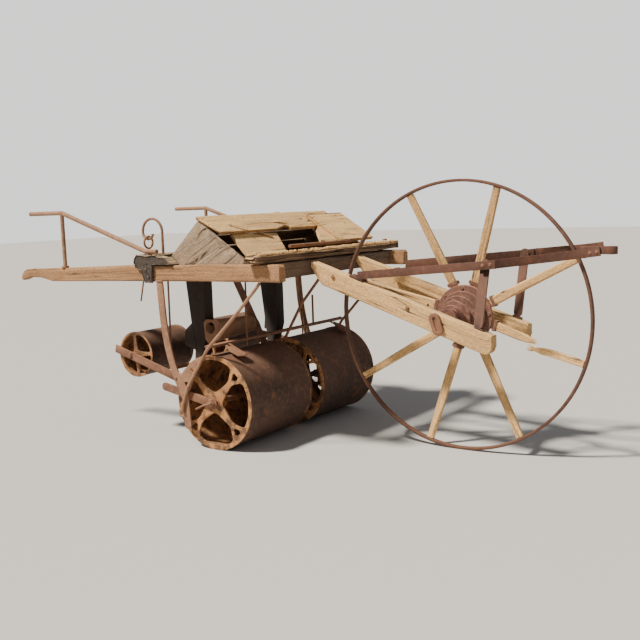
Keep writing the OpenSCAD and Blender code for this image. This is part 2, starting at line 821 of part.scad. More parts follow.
// A band of the nave with worn edges
function band(r, from, to, edge = 2.5) =
  [[r - edge, from], [r, from + edge], [r, to - edge], [r - edge, to]];

module wheel_hub() color(dark_iron) {
  bore = axle_r + turn_play;
  neck = nave_end_r - 6;
  near_face = -dish + spoke_t / 2 + 0.2;
  far_face = -dish - spoke_t / 2 - 0.2;
  lips = len(pulley_lips);
  starts = concat([near_face + flange_t], [for (l = pulley_lips) l[1] + lip_t]);
  translate([0, 0, wheel_r]) rotate([90, 0, 0]) rotate_extrude()
    polygon(concat(
      [[bore, -nave_half]],
      band(nave_end_r, -nave_half, -nave_half + nave_end_t),
      [[neck, -nave_half + nave_end_t], [neck + 10, far_face - flange_t]],
      band(flange_r - 18, far_face - flange_t, far_face),
      [[nave_r - 2, far_face], [nave_r - 2, near_face]],
      band(flange_r, near_face, near_face + flange_t),
      [for (i = [0 : lips - 1]) for (q = concat(
        [[pulley_lips[i][0], starts[i]], [pulley_lips[i][0], pulley_lips[i][1]]],
        band(pulley_lips[i][2], pulley_lips[i][1], pulley_lips[i][1] + lip_t))) q],
      [[neck, starts[lips]], [neck, nave_half - nave_end_t]],
      band(nave_end_r, nave_half - nave_end_t, nave_half),
      [[bore, nave_half]]
    ));
}

// Rollers

// An outline with its corners rounded over the length d on both sides
function rounded(p, d) = [
  for (i = [0 : len(p) - 1])
    let (before = p[(i + len(p) - 1) % len(p)] - p[i], after = p[(i + 1) % len(p)] - p[i])
    for (q = bend(p[i] + d * before / norm(before), p[i], p[i] + d * after / norm(after), 4)) q
];

// One of the four large openings of a cast end, wide near the ring and narrow at the hub
module end_opening(r, side_turn, flare_turn) {
  outer = 0.84 * r;
  middle = 0.6 * r;
  polygon(rounded([
    [0.22 * r, 0],
    middle * [cos(side_turn), -sin(side_turn)],
    outer * [cos(flare_turn), -sin(flare_turn)],
    [outer * 1.01, 0],
    outer * [cos(flare_turn), sin(flare_turn)],
    middle * [cos(side_turn), sin(side_turn)]
  ], 0.1 * r));
}

// A cast end: ring, hub and four arms, which fork round a small hole at the ring
module cast_end(r, arms_at, t, forked) {
  side_turn = forked ? 37 : 34;
  flare_turn = forked ? 27 : 36;
  linear_extrude(t) difference() {
    circle(r = r, $fn = 96);
    for (a = [0 : 90 : 270]) rotate(a + arms_at + 45) end_opening(r, side_turn, flare_turn);
    if (forked)
      for (a = [0 : 90 : 270]) rotate(a + arms_at)
        polygon(rounded([[0.74 * r, 0], [0.85 * r, -0.075 * r], [0.85 * r, 0.075 * r]], 0.02 * r));
  }
}

// One roller lying across the drill: both ends are open castings
module roller(r, length, bore_r, arms_at, hub_r, forked) {
  end_t = 14;
  drum_r = r - 3;
  rotate([90, 0, 0]) translate([0, 0, -length / 2]) difference() {
    union() {
      difference() {
        union() {
          cylinder(h = length, r = drum_r, $fn = 96);
          cylinder(h = end_t, r = r, $fn = 96);
          translate([0, 0, length - end_t]) cylinder(h = end_t, r = r, $fn = 96);
        }
        translate([0, 0, -1]) cylinder(h = length + 2, r = drum_r - drum_wall, $fn = 96);
      }
      for (z = [3, length - end_t + 1]) translate([0, 0, z])
        cast_end(drum_r - drum_wall + 2, arms_at, end_t - 4, forked);
      translate([0, 0, 0.5]) cylinder(h = 62, r = hub_r);
      translate([0, 0, length - 62.5]) cylinder(h = 62, r = hub_r);
    }
    translate([0, 0, -1]) cylinder(h = length + 2, r = bore_r);
  }
}

module front_roller() color(iron)
  translate([-front_back, -row_y, front_r])
    roller(front_r, front_len, front_axle_r + turn_play, 45, 34, true);

module rear_roller() color(iron)
  translate([-rear_back, -row_y, rear_z])
    roller(rear_r, rear_len, rear_axle_r + turn_play, 5, 26, false);

// Moves the drill from its drawing place to its origin
module place() translate([-origin_x, 0, 0]) children();

place() handle();  // handle_right
place() left_side() handle();  // handle_left
place() cross_beam();
place() cross_sill();
place() rear_plank();
place() fork_beam();  // fork_beam_right
place() left_side() fork_beam();  // fork_beam_left
place() draught_bar(0);  // draught_bar_right
place() left_side() draught_bar(left_lift);  // draught_bar_left
place() hitch_eye();
place() draught_strut(0);  // draught_strut_right
place() left_side() draught_strut(left_lift);  // draught_strut_left
place() guide_rod();  // guide_rod_right
place() left_side() guide_rod();  // guide_rod_left
place() lift_hook();  // lift_hook_right
place() left_side() lift_hook();  // lift_hook_left
place() box_end();  // box_end_right
place() left_side() box_end();  // box_end_left
place() ridge_board();
place() front_panel_right();
place() front_panel_left();
place() back_roof_board();
place() box_floor();
place() box_rails();
place() hatch_rod();
place() seed_spout();  // seed_spout_right
place() left_side() seed_spout();  // seed_spout_left
place() feed_drum();
place() leg();  // leg_right
place() left_side() leg();  // leg_left
place() brace_rod();  // brace_rod_right
place() left_side() brace_rod();  // brace_rod_left
place() centre_hanger();
place() front_axle();
place() cross_ties();
place() side_bar();  // side_bar_right
place() left_side() side_bar();  // side_bar_left
place() rear_axle();
place() lift_rods();
place() scrapers();
place() main_axle();
place() wheel_rim();
place() wheel_spokes();
place() wheel_hub();
place() front_roller();  // front_roller_right
place() left_side() front_roller();  // front_roller_left
place() rear_roller();  // rear_roller_right
place() left_side() rear_roller();  // rear_roller_left
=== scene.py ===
# %% [markdown]
# # A two-row ridge seed drill in Blender
# The drill is an old farm machine: a tall spoked wheel in a wooden fork, a gabled seed box, two
# pairs of open iron rollers and two long handles. Its construction comes in as a fixed frame of
# solids. This file gives it its looks: weathered timber, rusty iron, and the small marks of age.

# %% Load the frame
import contextlib
import functools
import math

import bmesh
import bpy
import numpy as np
from mathutils import Matrix, Vector


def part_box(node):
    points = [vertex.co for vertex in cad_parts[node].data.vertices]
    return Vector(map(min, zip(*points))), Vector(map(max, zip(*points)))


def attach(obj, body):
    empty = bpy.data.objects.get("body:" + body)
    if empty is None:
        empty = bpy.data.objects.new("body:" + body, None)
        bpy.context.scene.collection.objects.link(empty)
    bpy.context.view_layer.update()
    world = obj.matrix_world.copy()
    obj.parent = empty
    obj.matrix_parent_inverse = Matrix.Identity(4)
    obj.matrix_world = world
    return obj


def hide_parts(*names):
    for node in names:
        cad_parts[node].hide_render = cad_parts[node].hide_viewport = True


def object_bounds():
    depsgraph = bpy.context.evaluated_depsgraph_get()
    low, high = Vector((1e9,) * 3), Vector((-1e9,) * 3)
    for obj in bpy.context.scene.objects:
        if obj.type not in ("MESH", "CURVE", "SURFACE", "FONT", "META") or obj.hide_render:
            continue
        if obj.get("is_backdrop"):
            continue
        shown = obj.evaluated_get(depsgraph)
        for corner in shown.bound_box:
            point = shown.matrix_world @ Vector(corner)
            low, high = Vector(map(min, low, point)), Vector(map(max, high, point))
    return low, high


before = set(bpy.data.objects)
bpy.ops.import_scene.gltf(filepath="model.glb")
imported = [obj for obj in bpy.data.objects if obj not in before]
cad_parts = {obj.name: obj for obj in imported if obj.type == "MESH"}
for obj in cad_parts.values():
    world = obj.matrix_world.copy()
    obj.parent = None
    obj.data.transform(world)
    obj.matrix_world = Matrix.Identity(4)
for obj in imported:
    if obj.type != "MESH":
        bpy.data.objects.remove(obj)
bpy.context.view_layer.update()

# %% [markdown]
# ## Where things are
# Every place below is measured from the big wheel's axle. The frame's own boxes say where that axle,
# the handles and the deck are.

# %% Places that the frame gives
rim_low, rim_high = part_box("wheel_rim")
WHEEL_X = (rim_low.x + rim_high.x) / 2
WHEEL_R = (rim_high.z - rim_low.z) / 2
DECK_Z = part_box("handle_right")[1].z


def at(x, y, z):
    """A point measured in metres from the big wheel's axle, the middle of the drill and the ground."""
    return Vector((WHEEL_X + x, y, z))


print("wheel at", round(WHEEL_X, 4), "radius", round(WHEEL_R, 4), "deck", round(DECK_Z, 4))

# %% [markdown]
# ## Short hands
# Three things are done again and again: an object is put into the scene, a thing gets its settings,
# and a mesh is made from points and faces. Each has a short hand, and so has a node in a tree.

# %% Short hands
def placed(name, data):
    piece = bpy.data.objects.new(name, data)
    bpy.context.collection.objects.link(piece)
    return piece


def settled(thing, **settings):
    for key, value in settings.items():
        setattr(thing, key, value)
    return thing


def solid(name, points, faces, smooth=True):
    mesh = bpy.data.meshes.new(name)
    mesh.from_pydata([tuple(p) for p in points], [], [tuple(f) for f in faces])
    mesh.polygons.foreach_set("use_smooth", [smooth] * len(mesh.polygons))
    mesh.update()
    return placed(name, mesh)


def add_node(tree, kind, sockets=None, **settings):
    """Adds a node, and gives its sockets a value or the socket that feeds them."""
    node = settled(tree.nodes.new(kind), **settings)
    for key, value in (sockets or {}).items():
        if isinstance(value, bpy.types.NodeSocket):
            tree.links.new(value, node.inputs[key])
        else:
            node.inputs[key].default_value = value
    return node


print("four short hands")

# %% [markdown]
# ## Camera
# The round wheel, the round roller ends and the mirror pairs leave one place for the camera, from
# which everything falls where it should. It stands in front and to the right.

# %% Camera
CAMERA_AT = at(1.957, -4.004, 1.207)
CAMERA_YAW = -0.60473
CAMERA_DIP = 0.12463
CAMERA_ROLL = -0.0347
LENS_PX = 930
IMAGE_PX = 640
SENSOR_MM = 36

look = Vector((math.sin(CAMERA_YAW) * math.cos(CAMERA_DIP),
               math.cos(CAMERA_YAW) * math.cos(CAMERA_DIP), -math.sin(CAMERA_DIP)))
level_right = Vector((math.cos(CAMERA_YAW), -math.sin(CAMERA_YAW), 0))
level_up = level_right.cross(look)
right = level_right * math.cos(CAMERA_ROLL) + level_up * math.sin(CAMERA_ROLL)
up = level_up * math.cos(CAMERA_ROLL) - level_right * math.sin(CAMERA_ROLL)

camera = placed("camera", bpy.data.cameras.new("camera"))
settled(camera.data, sensor_width=SENSOR_MM, lens=LENS_PX / IMAGE_PX * SENSOR_MM)
camera.matrix_world = Matrix.Translation(CAMERA_AT) @ Matrix((right, up, -look)).transposed().to_4x4()
bpy.context.scene.camera = camera
print("lens", round(camera.data.lens, 2), "mm")

# %% [markdown]
# ## Light and floor
# A sun lamp stands high on the left: tops are bright, near sides half bright, and what faces forwards
# is in shade. Its wide angle gives soft edges, and a weak lamp near the camera opens the shade. The
# camera sees a paler world than the one that lights the drill, so the background stays light.

# %% Light and floor
def lamp(name, kind, place, aim, **settings):
    piece = placed(name, settled(bpy.data.lights.new(name, kind), **settings))
    piece.location = place
    piece.rotation_euler = (Vector(aim) - Vector(place)).to_track_quat("-Z", "Y").to_euler()


SUN_FROM = (-0.32, -0.5, 0.8)
FILL_AT = (3.4, -4.2, 2.0)
lamp("sun", "SUN", SUN_FROM, (0, 0, 0), energy=7.4, color=(1, 0.93, 0.82), angle=math.radians(7))
lamp("fill", "AREA", FILL_AT, (0, 0, 0.6), energy=16, color=(0.9, 0.95, 1), size=3.0)

world = bpy.data.worlds.new("studio")
world.use_nodes = True
sky = world.node_tree
lit = sky.nodes["Background"]
lit.inputs["Color"].default_value = (0.8, 0.82, 0.86, 1)
lit.inputs["Strength"].default_value = 0.3
seen = add_node(sky, "ShaderNodeBackground", {"Color": (0.86, 0.86, 0.85, 1), "Strength": 1.5})
direct = add_node(sky, "ShaderNodeLightPath").outputs["Is Camera Ray"]
either = add_node(sky, "ShaderNodeMixShader", {0: direct, 1: lit.outputs[0], 2: seen.outputs[0]})
sky.links.new(either.outputs[0], sky.nodes["World Output"].inputs["Surface"])
bpy.context.scene.world = world

FLOOR_HALF = 30
corners = [(x * FLOOR_HALF, y * FLOOR_HALF, 0) for x, y in ((-1, -1), (1, -1), (1, 1), (-1, 1))]
floor = solid("floor", corners, [(0, 1, 2, 3)], smooth=False)
floor_finish = bpy.data.materials.new("pale_floor")
floor_finish.use_nodes = True
shader = floor_finish.node_tree.nodes["Principled BSDF"]
shader.inputs["Base Color"].default_value = (0.53, 0.517, 0.496, 1)
shader.inputs["Roughness"].default_value = 0.9
floor.data.materials.append(floor_finish)
floor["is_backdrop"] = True
print("two lamps, a world and a floor")

# %% [markdown]
# ## Finishes
# All finishes are made of nodes. `Finish` is a short hand for building them, and its `layer` lays a
# tone over a colour wherever a pattern is strong. Wood reads an attribute called grain, which each
# timber carries: its first number runs along the fibres, so one finish fits every direction.

# %% A short hand for node trees
class Finish:
    def __init__(self, name, roughness):
        self.material = bpy.data.materials.new(name)
        self.material.use_nodes = True
        self.tree = self.material.node_tree
        self.shader = self.tree.nodes["Principled BSDF"]
        self.shader.inputs["Roughness"].default_value = roughness
        self.put = functools.partial(add_node, self.tree)

    def stretched(self, source, scale, detail=5, rough=0.6):
        """Noise on coordinates that are scaled apart along each axis."""
        place = self.put("ShaderNodeMapping", {"Vector": source, "Scale": scale})
        noise = self.put("ShaderNodeTexNoise", {"Vector": place.outputs[0], "Scale": 1.0,
                                                "Detail": detail, "Roughness": rough})
        return noise.outputs["Fac"]

    def between(self, value, low, high):
        """Turns low to high into 0 to 1, with flat ends."""
        node = self.put("ShaderNodeMapRange", {"Value": value, "From Min": low, "From Max": high})
        return node.outputs["Result"]

    def maths(self, operation, a, b):
        return self.put("ShaderNodeMath", {0: a, 1: b}, operation=operation).outputs[0]

    def blend(self, factor, a, b):
        """Mixes two colours, each a tuple or a socket."""
        a, b = ((*tone, 1) if isinstance(tone, tuple) else tone for tone in (a, b))
        return self.put("ShaderNodeMix", {0: factor, 6: a, 7: b}, data_type="RGBA").outputs[2]

    def layer(self, colour, tone, pattern, low, high, share):
        return self.blend(self.maths("MULTIPLY", self.between(pattern, low, high), share), colour, tone)

    def done(self, colour, height, strength, distance):
        self.tree.links.new(colour, self.shader.inputs["Base Color"])
        bump = self.put("ShaderNodeBump", {"Height": height, "Strength": strength, "Distance": distance})
        self.tree.links.new(bump.outputs["Normal"], self.shader.inputs["Normal"])
        return self.material


print("recipes", [name for name in vars(Finish) if not name.startswith("_")])

# %% [markdown]
# ### Old timber
# Sun and rain grey the wood, raise its fibres and open long drying checks. Faces that look up are
# bleached the most, faces that look down keep their brown. The pale tops are also painted top light,
# and where the mask starts high, as on the hewn and dark-sided timbers, the sides keep a dark tone
# that is painted shade. Broad rings, dark streaks, pale flecks, fine fibres and thin black checks are
# five patterns of the same coordinates, each stretched along the fibres by its own amount.

# %% Timber finish
def old_timber(name, bleached, pale, body, deep, weather, shade_from=-0.6, crown_bleach_and_light=0.0):
    f = Finish(name, 0.88)
    grain = f.put("ShaderNodeAttribute", attribute_name="grain").outputs["Vector"]
    rings = f.stretched(grain, (1.5, 48, 48), 4)
    streaks = f.stretched(grain, (4.5, 130, 130), 5, 0.65)
    flecks = f.stretched(grain, (70, 190, 190), 4, 0.75)
    fibres = f.stretched(grain, (9, 420, 420), 6, 0.7)
    patches = f.stretched(grain, (4, 9, 9), 4)
    cell = f.put("ShaderNodeMapping", {"Vector": grain, "Scale": (2.6, 62, 62)})
    cracks = f.put("ShaderNodeTexVoronoi", {"Vector": cell.outputs[0], "Scale": 1.0, "Randomness": 1.0},
                   feature="DISTANCE_TO_EDGE").outputs["Distance"]
    sound = f.between(cracks, 0.0, 0.06)
    open_here = f.between(f.stretched(grain, (2.2, 20, 20), 2), 0.54, 0.62)
    check = f.maths("MULTIPLY", f.maths("SUBTRACT", 1.0, sound), open_here)
    facing = f.put("ShaderNodeTexCoord").outputs["Normal"]
    # Facing up gives the bleached tone: sun-bleaching and painted top light. Below shade_from, the sides
    # keep their dark body as painted shade.
    top_bleach_and_light = f.between(f.put("ShaderNodeSeparateXYZ", {0: facing}).outputs["Z"], shade_from, 0.9)
    colour = f.blend(f.between(rings, 0.34, 0.66), body, pale)
    colour = f.blend(f.maths("MULTIPLY", top_bleach_and_light, weather), colour, bleached)
    for pattern, low, high, share in ((patches, 0.46, 0.74, 0.4), (flecks, 0.46, 0.62, 0.6),
                                      (streaks, 0.52, 0.7, 0.45), (fibres, 0.5, 0.72, 0.35)):
        colour = f.layer(colour, deep, pattern, low, high, share)
    # The crown pales the tops once more: bleach and painted top light.
    colour = f.blend(f.maths("MULTIPLY", top_bleach_and_light, crown_bleach_and_light), colour, bleached)
    colour = f.blend(check, colour, tuple(c * 0.3 for c in deep))
    height = f.maths("ADD", f.maths("MULTIPLY", fibres, 0.4), f.maths("MULTIPLY", flecks, 0.7))
    height = f.maths("SUBTRACT", f.maths("ADD", height, rings), f.maths("MULTIPLY", check, 1.6))
    return f.done(colour, height, 0.8, 0.005)


# Each row: bleached, pale, body and deep tone, how weathered, then where shade starts and the crown, which
# paint shade on the sides and light on the tops
TIMBERS = {
    "bleached_wood": ((1.00, 0.66, 0.29), (0.72, 0.41, 0.155), (0.51, 0.268, 0.094),
                      (0.16, 0.074, 0.03), 0.64, -0.6, 0.2),
    "oiled_wood": ((0.58, 0.325, 0.15), (0.42, 0.215, 0.093), (0.28, 0.135, 0.056),
                   (0.1, 0.044, 0.019), 0.55),
    "grey_wood": ((0.53, 0.395, 0.27), (0.45, 0.325, 0.212), (0.33, 0.23, 0.142),
                  (0.105, 0.066, 0.041), 0.5),
    # Dark wood, for the sill, the floor and the rails under the box, is painted shade.
    "dark_wood": ((0.28, 0.175, 0.105), (0.2, 0.125, 0.075), (0.125, 0.075, 0.045),
                  (0.04, 0.024, 0.015), 0.3),
    # The hewn finish paints its sides dark as shade and leaves only its top pale.
    "hewn_painted_shade": ((0.8, 0.51, 0.24), (0.235, 0.138, 0.077), (0.15, 0.085, 0.047),
                  (0.045, 0.025, 0.015), 0.9, 0.35, 0.7),
    # Dark sides, partly the rear plank's own colour and partly painted shade, under a pale top.
    "dark_and_shaded_wood": ((0.6, 0.43, 0.25), (0.085, 0.06, 0.046), (0.055, 0.04, 0.031),
                     (0.02, 0.014, 0.011), 0.9, 0.45, 0.7),
}
FINISHES = {name: old_timber(name, *row) for name, row in TIMBERS.items()}
print("timber finishes", sorted(TIMBERS))

# %% [markdown]
# ### Rusty iron
# Wrought bars carry an even, dusty, brown rust, paler where dust lies on top and nearly black
# underneath. The draught irons are redder and darker, the legs and rods dustier. Castings are
# rougher. The rollers carry an attribute called open: their drums' outsides, which have it at 0, are
# painted dark as shade, and their ends and insides are painted a bright rust orange, as if sunlit.
# A normal read in the object's own axes tells a top from a side, so nothing depends on the camera.

# %% Iron finish
def rusty(name, dusty, body, scale_tone, bloom, grain_size, depth, ends=None):
    f = Finish(name, 0.8)
    place = f.put("ShaderNodeTexCoord")
    spot = place.outputs["Object"]
    patches = f.stretched(spot, (5, 5, 5))
    mottle = f.stretched(spot, (42, 42, 42), 5, 0.65)
    pits = f.stretched(spot, (grain_size,) * 3, 4, 0.7)
    spots = f.stretched(spot, (17, 17, 17), 4)
    normal = f.put("ShaderNodeSeparateXYZ", {0: place.outputs["Normal"]})
    colour = body
    if ends:
        lit_open_faces = f.put("ShaderNodeAttribute", attribute_name="open").outputs["Fac"]
        worn_off = f.between(f.stretched(spot, (26, 26, 26), 3), 0.47, 0.6)
        bare = tuple(c * 0.26 for c in ends)
        colour = f.blend(lit_open_faces, colour, f.blend(worn_off, ends, bare))
    for tone, pattern, low, high, share in ((scale_tone, patches, 0.42, 0.66, 0.7),
                                            (dusty, normal.outputs["Z"], 0.2, 1.0, 0.45),
                                            (dusty, mottle, 0.48, 0.7, 0.38),
                                            (bloom, spots, 0.58, 0.72, 0.5),
                                            (scale_tone, pits, 0.5, 0.68, 0.6)):
        colour = f.layer(colour, tone, pattern, low, high, share)
    height = f.maths("ADD", f.maths("MULTIPLY", mottle, 1.2), pits)
    return f.done(colour, height, 0.6, depth)


# Each row: dusty, body, scale and bloom tone, the pits' fineness and depth, then the open ends' tone, a
# rust orange painted as if sunlit
IRONS = {
    "rusty_iron": ((0.36, 0.19, 0.108), (0.21, 0.092, 0.047), (0.075, 0.034, 0.021),
                   (0.38, 0.15, 0.06), 260, 0.0014),
    "dusty_iron": ((0.5, 0.31, 0.18), (0.31, 0.155, 0.083), (0.12, 0.058, 0.034),
                   (0.44, 0.19, 0.08), 260, 0.0014),
    "draught_iron": ((0.17, 0.075, 0.043), (0.1, 0.038, 0.021), (0.038, 0.015, 0.009),
                     (0.22, 0.076, 0.032), 260, 0.0014),
    "rusty_casting": ((0.27, 0.14, 0.083), (0.085, 0.042, 0.026), (0.024, 0.013, 0.009),
                      (0.36, 0.12, 0.04), 150, 0.0034, (0.54, 0.25, 0.088)),
    # The nave's pale dusty tone on its tops is dust, and also a painted highlight.
    "nave_iron": ((0.5, 0.27, 0.175), (0.19, 0.078, 0.05), (0.05, 0.024, 0.018),
                  (0.3, 0.11, 0.05), 180, 0.0024),
    "tyre_iron": ((0.22, 0.105, 0.06), (0.115, 0.047, 0.026), (0.045, 0.02, 0.012),
                  (0.18, 0.068, 0.03), 260, 0.0012),
    # Near black, for the seed spouts, as painted shade.
    "shade_black_iron": ((0.055, 0.03, 0.02), (0.028, 0.015, 0.01), (0.012, 0.007, 0.005),
                    (0.06, 0.027, 0.015), 200, 0.0016),
}
FINISHES.update({name: rusty(name, *row) for name, row in IRONS.items()})
print("iron finishes", sorted(IRONS))

# %% [markdown]
# ## Helpers for pieces
# Every finished piece rides on its body and wears the finish of its slot. Where it stands for one of
# the frame's solids, that solid is hidden. A piece may wear a darker finish of its slot.

# %% Put a piece into the scene
def dress(piece, body, slot, *replaced, finish=None):
    piece.data.materials.clear()
    piece.data.materials.append(FINISHES[finish or slot])
    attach(piece, body)
    if replaced:
        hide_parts(*replaced)
    return piece


def joined(name, pieces):
    """One object from several, with their attributes kept."""
    with bpy.context.temp_override(active_object=pieces[0], selected_editable_objects=pieces):
        bpy.ops.object.join()
    pieces[0].name = name
    return pieces[0]


@contextlib.contextmanager
def reworked(mesh):
    """Opens a mesh for work on its points and faces, and writes it back."""
    work = bmesh.new()
    work.from_mesh(mesh)
    yield work
    work.to_mesh(mesh)
    work.free()


def applied(piece):
    """The piece with its modifiers worked into a plain mesh."""
    done = bpy.data.meshes.new_from_object(piece.evaluated_get(bpy.context.evaluated_depsgraph_get()))
    piece.modifiers.clear()
    piece.data = done
    return piece


def tube_faces(rings, sides, first=0):
    """The faces of a tube of rings of points, open at both ends."""
    starts = range(first, first + (rings - 1) * sides, sides)
    pairs = [(i + k, i + (k + 1) % sides) for i in starts for k in range(sides)]
    return [(a, b, b + sides, a + sides) for a, b in pairs]


def cutter_of(points, faces):
    """A closed solid to cut with, its faces turned outwards."""
    cutter = solid("cutter", points, faces, smooth=False)
    with reworked(cutter.data) as work:
        bmesh.ops.recalc_face_normals(work, faces=work.faces)
    return cutter


def cut_by(piece, cutter):
    settled(piece.modifiers.new("cut", "BOOLEAN"), operation="DIFFERENCE", solver="MANIFOLD", object=cutter)


print("a tube of 3 rings of 4 points has", len(tube_faces(3, 4)), "faces")

# %% [markdown]
# ### Smooth random waves
# Worn surfaces are never flat. `waves` gives a value between 0 and 1 for each point, smooth over the
# cell size given for each axis, so a cell that is long one way makes waves that follow the fibres.
# All timbers wear by the same three sets of waves: fine, broad and hewn.

# %% Smooth random waves
CHANCE = np.random.default_rng(11).random(8192)


def waves(points, cell, seed):
    q = np.asarray(points) / np.asarray(cell)
    low = np.floor(q).astype(np.int64)
    part = q - low
    part = part * part * (3 - 2 * part)
    total = np.zeros(len(q))
    for corner in np.ndindex(2, 2, 2):
        key = low + corner
        index = (key[:, 0] * 73856093 ^ key[:, 1] * 19349663 ^ key[:, 2] * 83492791 ^ seed * 2971) % 8192
        share = np.prod(np.where(np.array(corner) == 1, part, 1 - part), axis=1)
        total += share * CHANCE[index]
    return total


def wear_depth(grain, seed, wear, rough):
    """How deep a worn surface lies under the sound one."""
    depth = wear * waves(grain, (0.16, 0.011, 0.011), seed)
    depth += wear * 1.6 * waves(grain, (0.5, 0.05, 0.05), seed + 1)
    return depth + rough * waves(grain, (0.09, 0.03, 0.03), seed + 2)


def grain_shift(seed):
    """Where a timber's grain starts, so that no two look alike."""
    return (seed * 3.7 % 11, seed * 1.3 % 5, seed * 2.1 % 5)


def set_grain(piece, grain):
    attribute = piece.data.attributes.new("grain", "FLOAT_VECTOR", "POINT")
    attribute.data.foreach_set("vector", np.asarray(grain, np.float32).ravel())


def swell(share):
    """Rises from 0 and falls back to it while share goes from 0 to 1."""
    return np.clip(np.sin(np.clip(share, 0, 1) * math.pi), 0, 1) ** 0.5


print("a check's depth along it", swell(np.linspace(0, 1, 5)).round(2))

# %% [markdown]
# ### Timbers
# A timber is a loft of rings of points, close together round the section. The arrises are worn round,
# the faces wave a little, and long checks are cut into them. All the wear goes inwards, so a timber
# never outgrows its solid.

# %% Timber loft
PITCH_ROUND = 0.0065
PITCH_LONG = 0.022
CHECK_DEEP, CHECK_WIDE = 0.0035, 0.0032
END_SHARES = (0.93, 0.6, 0.3)


def section(half_a, half_b):
    """Where the points of a rounded rectangle lie: on its straight core, and outwards from it."""
    rows = []
    count_a, count_b = (max(2, round(2 * half / PITCH_ROUND)) for half in (half_a, half_b))
    sides = ((count_a, (1, -1), (0, -1)), (count_b, (1, 1), (1, 0)), (count_a, (-1, 1), (0, 1)),
             (count_b, (-1, -1), (-1, 0)))
    start = np.array((-1.0, -1.0))
    for count, stop, out in sides:
        stop = np.array(stop, float)
        for t in np.linspace(0, 1, count, endpoint=False)[1:]:
            rows.append((*(start + (stop - start) * t), *out))
        first = math.atan2(out[1], out[0])
        for t in (0.0, 0.25, 0.5, 0.75, 1.0):
            turn = first + t * math.pi / 2
            rows.append((*stop, math.cos(turn), math.sin(turn)))
        start = stop
    return np.array(rows)


def resample(stations, pitch):
    """More stations between the given ones: each is a centre and two half widths, as vectors."""
    out = []
    for a, b in zip(stations[:-1], stations[1:]):
        steps = max(1, round((Vector(b[0]) - Vector(a[0])).length / pitch))
        for i in range(steps):
            t = i / steps
            out.append([np.array(p, float) * (1 - t) + np.array(q, float) * t for p, q in zip(a, b)])
    return np.array([*out, [np.array(p, float) for p in stations[-1]]])


def timber(name, stations, seed, wear=0.0016, arris=0.006, checks=3, rough=0.0):
    """A worn timber through stations (centre, half width, half height), each a point or a vector."""
    rows = resample(stations, PITCH_LONG)
    centre, half_a, half_b = rows[:, 0], rows[:, 1], rows[:, 2]
    size_a, size_b = (np.linalg.norm(half, axis=1) for half in (half_a, half_b))
    shape = section(size_a.max(), size_b.max())
    steps = np.linalg.norm(np.diff(centre, axis=0), axis=1)
    along = np.concatenate([[0], np.cumsum(steps)])
    way = np.gradient(centre, axis=0)
    way /= np.linalg.norm(way, axis=1)[:, None]
    n, m = len(rows), len(shape)
    unit_a, unit_b = half_a / size_a[:, None], half_b / size_b[:, None]
    wobble = waves(np.stack([along, along * 0, along * 0], 1), (0.12, 1, 1), seed + 5)
    radius = np.minimum(arris * (0.6 + 0.9 * wobble), 0.9 * np.minimum(size_a, size_b))[:, None]
    sa, sb, ca, cb = shape.T
    flat_a = sa * (size_a[:, None] - radius) + ca * radius
    flat_b = sb * (size_b[:, None] - radius) + cb * radius
    fibre = np.stack([np.repeat(along, m), flat_a.ravel(), flat_b.ravel()], 1)
    shift = grain_shift(seed)
    inward = wear_depth(fibre + shift, seed, wear, rough)
    # Long checks: narrow furrows that follow the fibres, on two or three faces
    rng = np.random.default_rng(seed)
    round_steps = np.hypot(*np.diff(np.stack([flat_a[n // 2], flat_b[n // 2]]), axis=1))
    edge = np.concatenate([[0], np.cumsum(round_steps)])
    for _ in range(checks):
        begin, span = rng.uniform(0, 0.8) * along[-1], rng.uniform(0.15, 0.5) * along[-1]
        line = rng.uniform(0, edge[-1])
        drift = 0.008 * np.sin(along * rng.uniform(2, 5) + rng.uniform(0, 6))
        deep = swell((along - begin) / span)
        away = np.abs(edge[None, :] - line - drift[:, None])
        inward += (CHECK_DEEP * deep[:, None] * np.exp(-(away / CHECK_WIDE) ** 2)).ravel()
    core = centre[:, None] + unit_a[:, None] * flat_a[..., None] + unit_b[:, None] * flat_b[..., None]
    outward = unit_a[:, None] * ca[None, :, None] + unit_b[:, None] * cb[None, :, None]
    points = core - outward * inward.reshape(n, m, 1)
    # The two ends are closed by rings that shrink to the middle
    bevel = min(arris, 0.004)
    points[0] += way[0] * bevel
    points[-1] -= way[-1] * bevel
    rings, coords = list(points), list(fibre.reshape(n, m, 3))
    for end, sign in ((0, -1), (n - 1, 1)):
        middle = centre[end]
        for share in END_SHARES:
            ring = middle + (core[end] - middle) * share
            pit = 0.002 * waves(ring, (0.006, 0.006, 0.006), seed + 9)
            ring = ring - sign * way[end] * pit[:, None]
            coord = fibre.reshape(n, m, 3)[end] * (1, share, share)
            rings.insert(0, ring) if sign < 0 else rings.append(ring)
            coords.insert(0, coord) if sign < 0 else coords.append(coord)
    count = len(rings)
    all_points = np.concatenate([*rings, [centre[0]], [centre[-1]]])
    all_coords = np.concatenate([*coords, [[0, 0, 0]], [[along[-1], 0, 0]]]) + shift
    k = np.arange(m)
    j = (k + 1) % m
    faces = tube_faces(count, m)
    faces += [(count * m, b, a) for a, b in zip(k, j)]
    faces += [(count * m + 1, count * m - m + a, count * m - m + b) for a, b in zip(k, j)]
    # The section runs anticlockwise about a cross b, so a left-handed loft is turned outside out
    if np.dot(np.cross(unit_a[0], unit_b[0]), way[0]) < 0:
        faces = [f[::-1] for f in faces]
    piece = solid(name, all_points, faces)
    set_grain(piece, all_coords)
    return piece


print("points round a section of 100 by 60 mm", len(section(0.05, 0.03)))

# %% [markdown]
# ### Forged and cast pieces
# The frame's iron solids have the right shape but razor edges. A copy of each gets its doubles
# merged, its flat faces joined and its edges rounded, as a hammer or a mould leaves them.

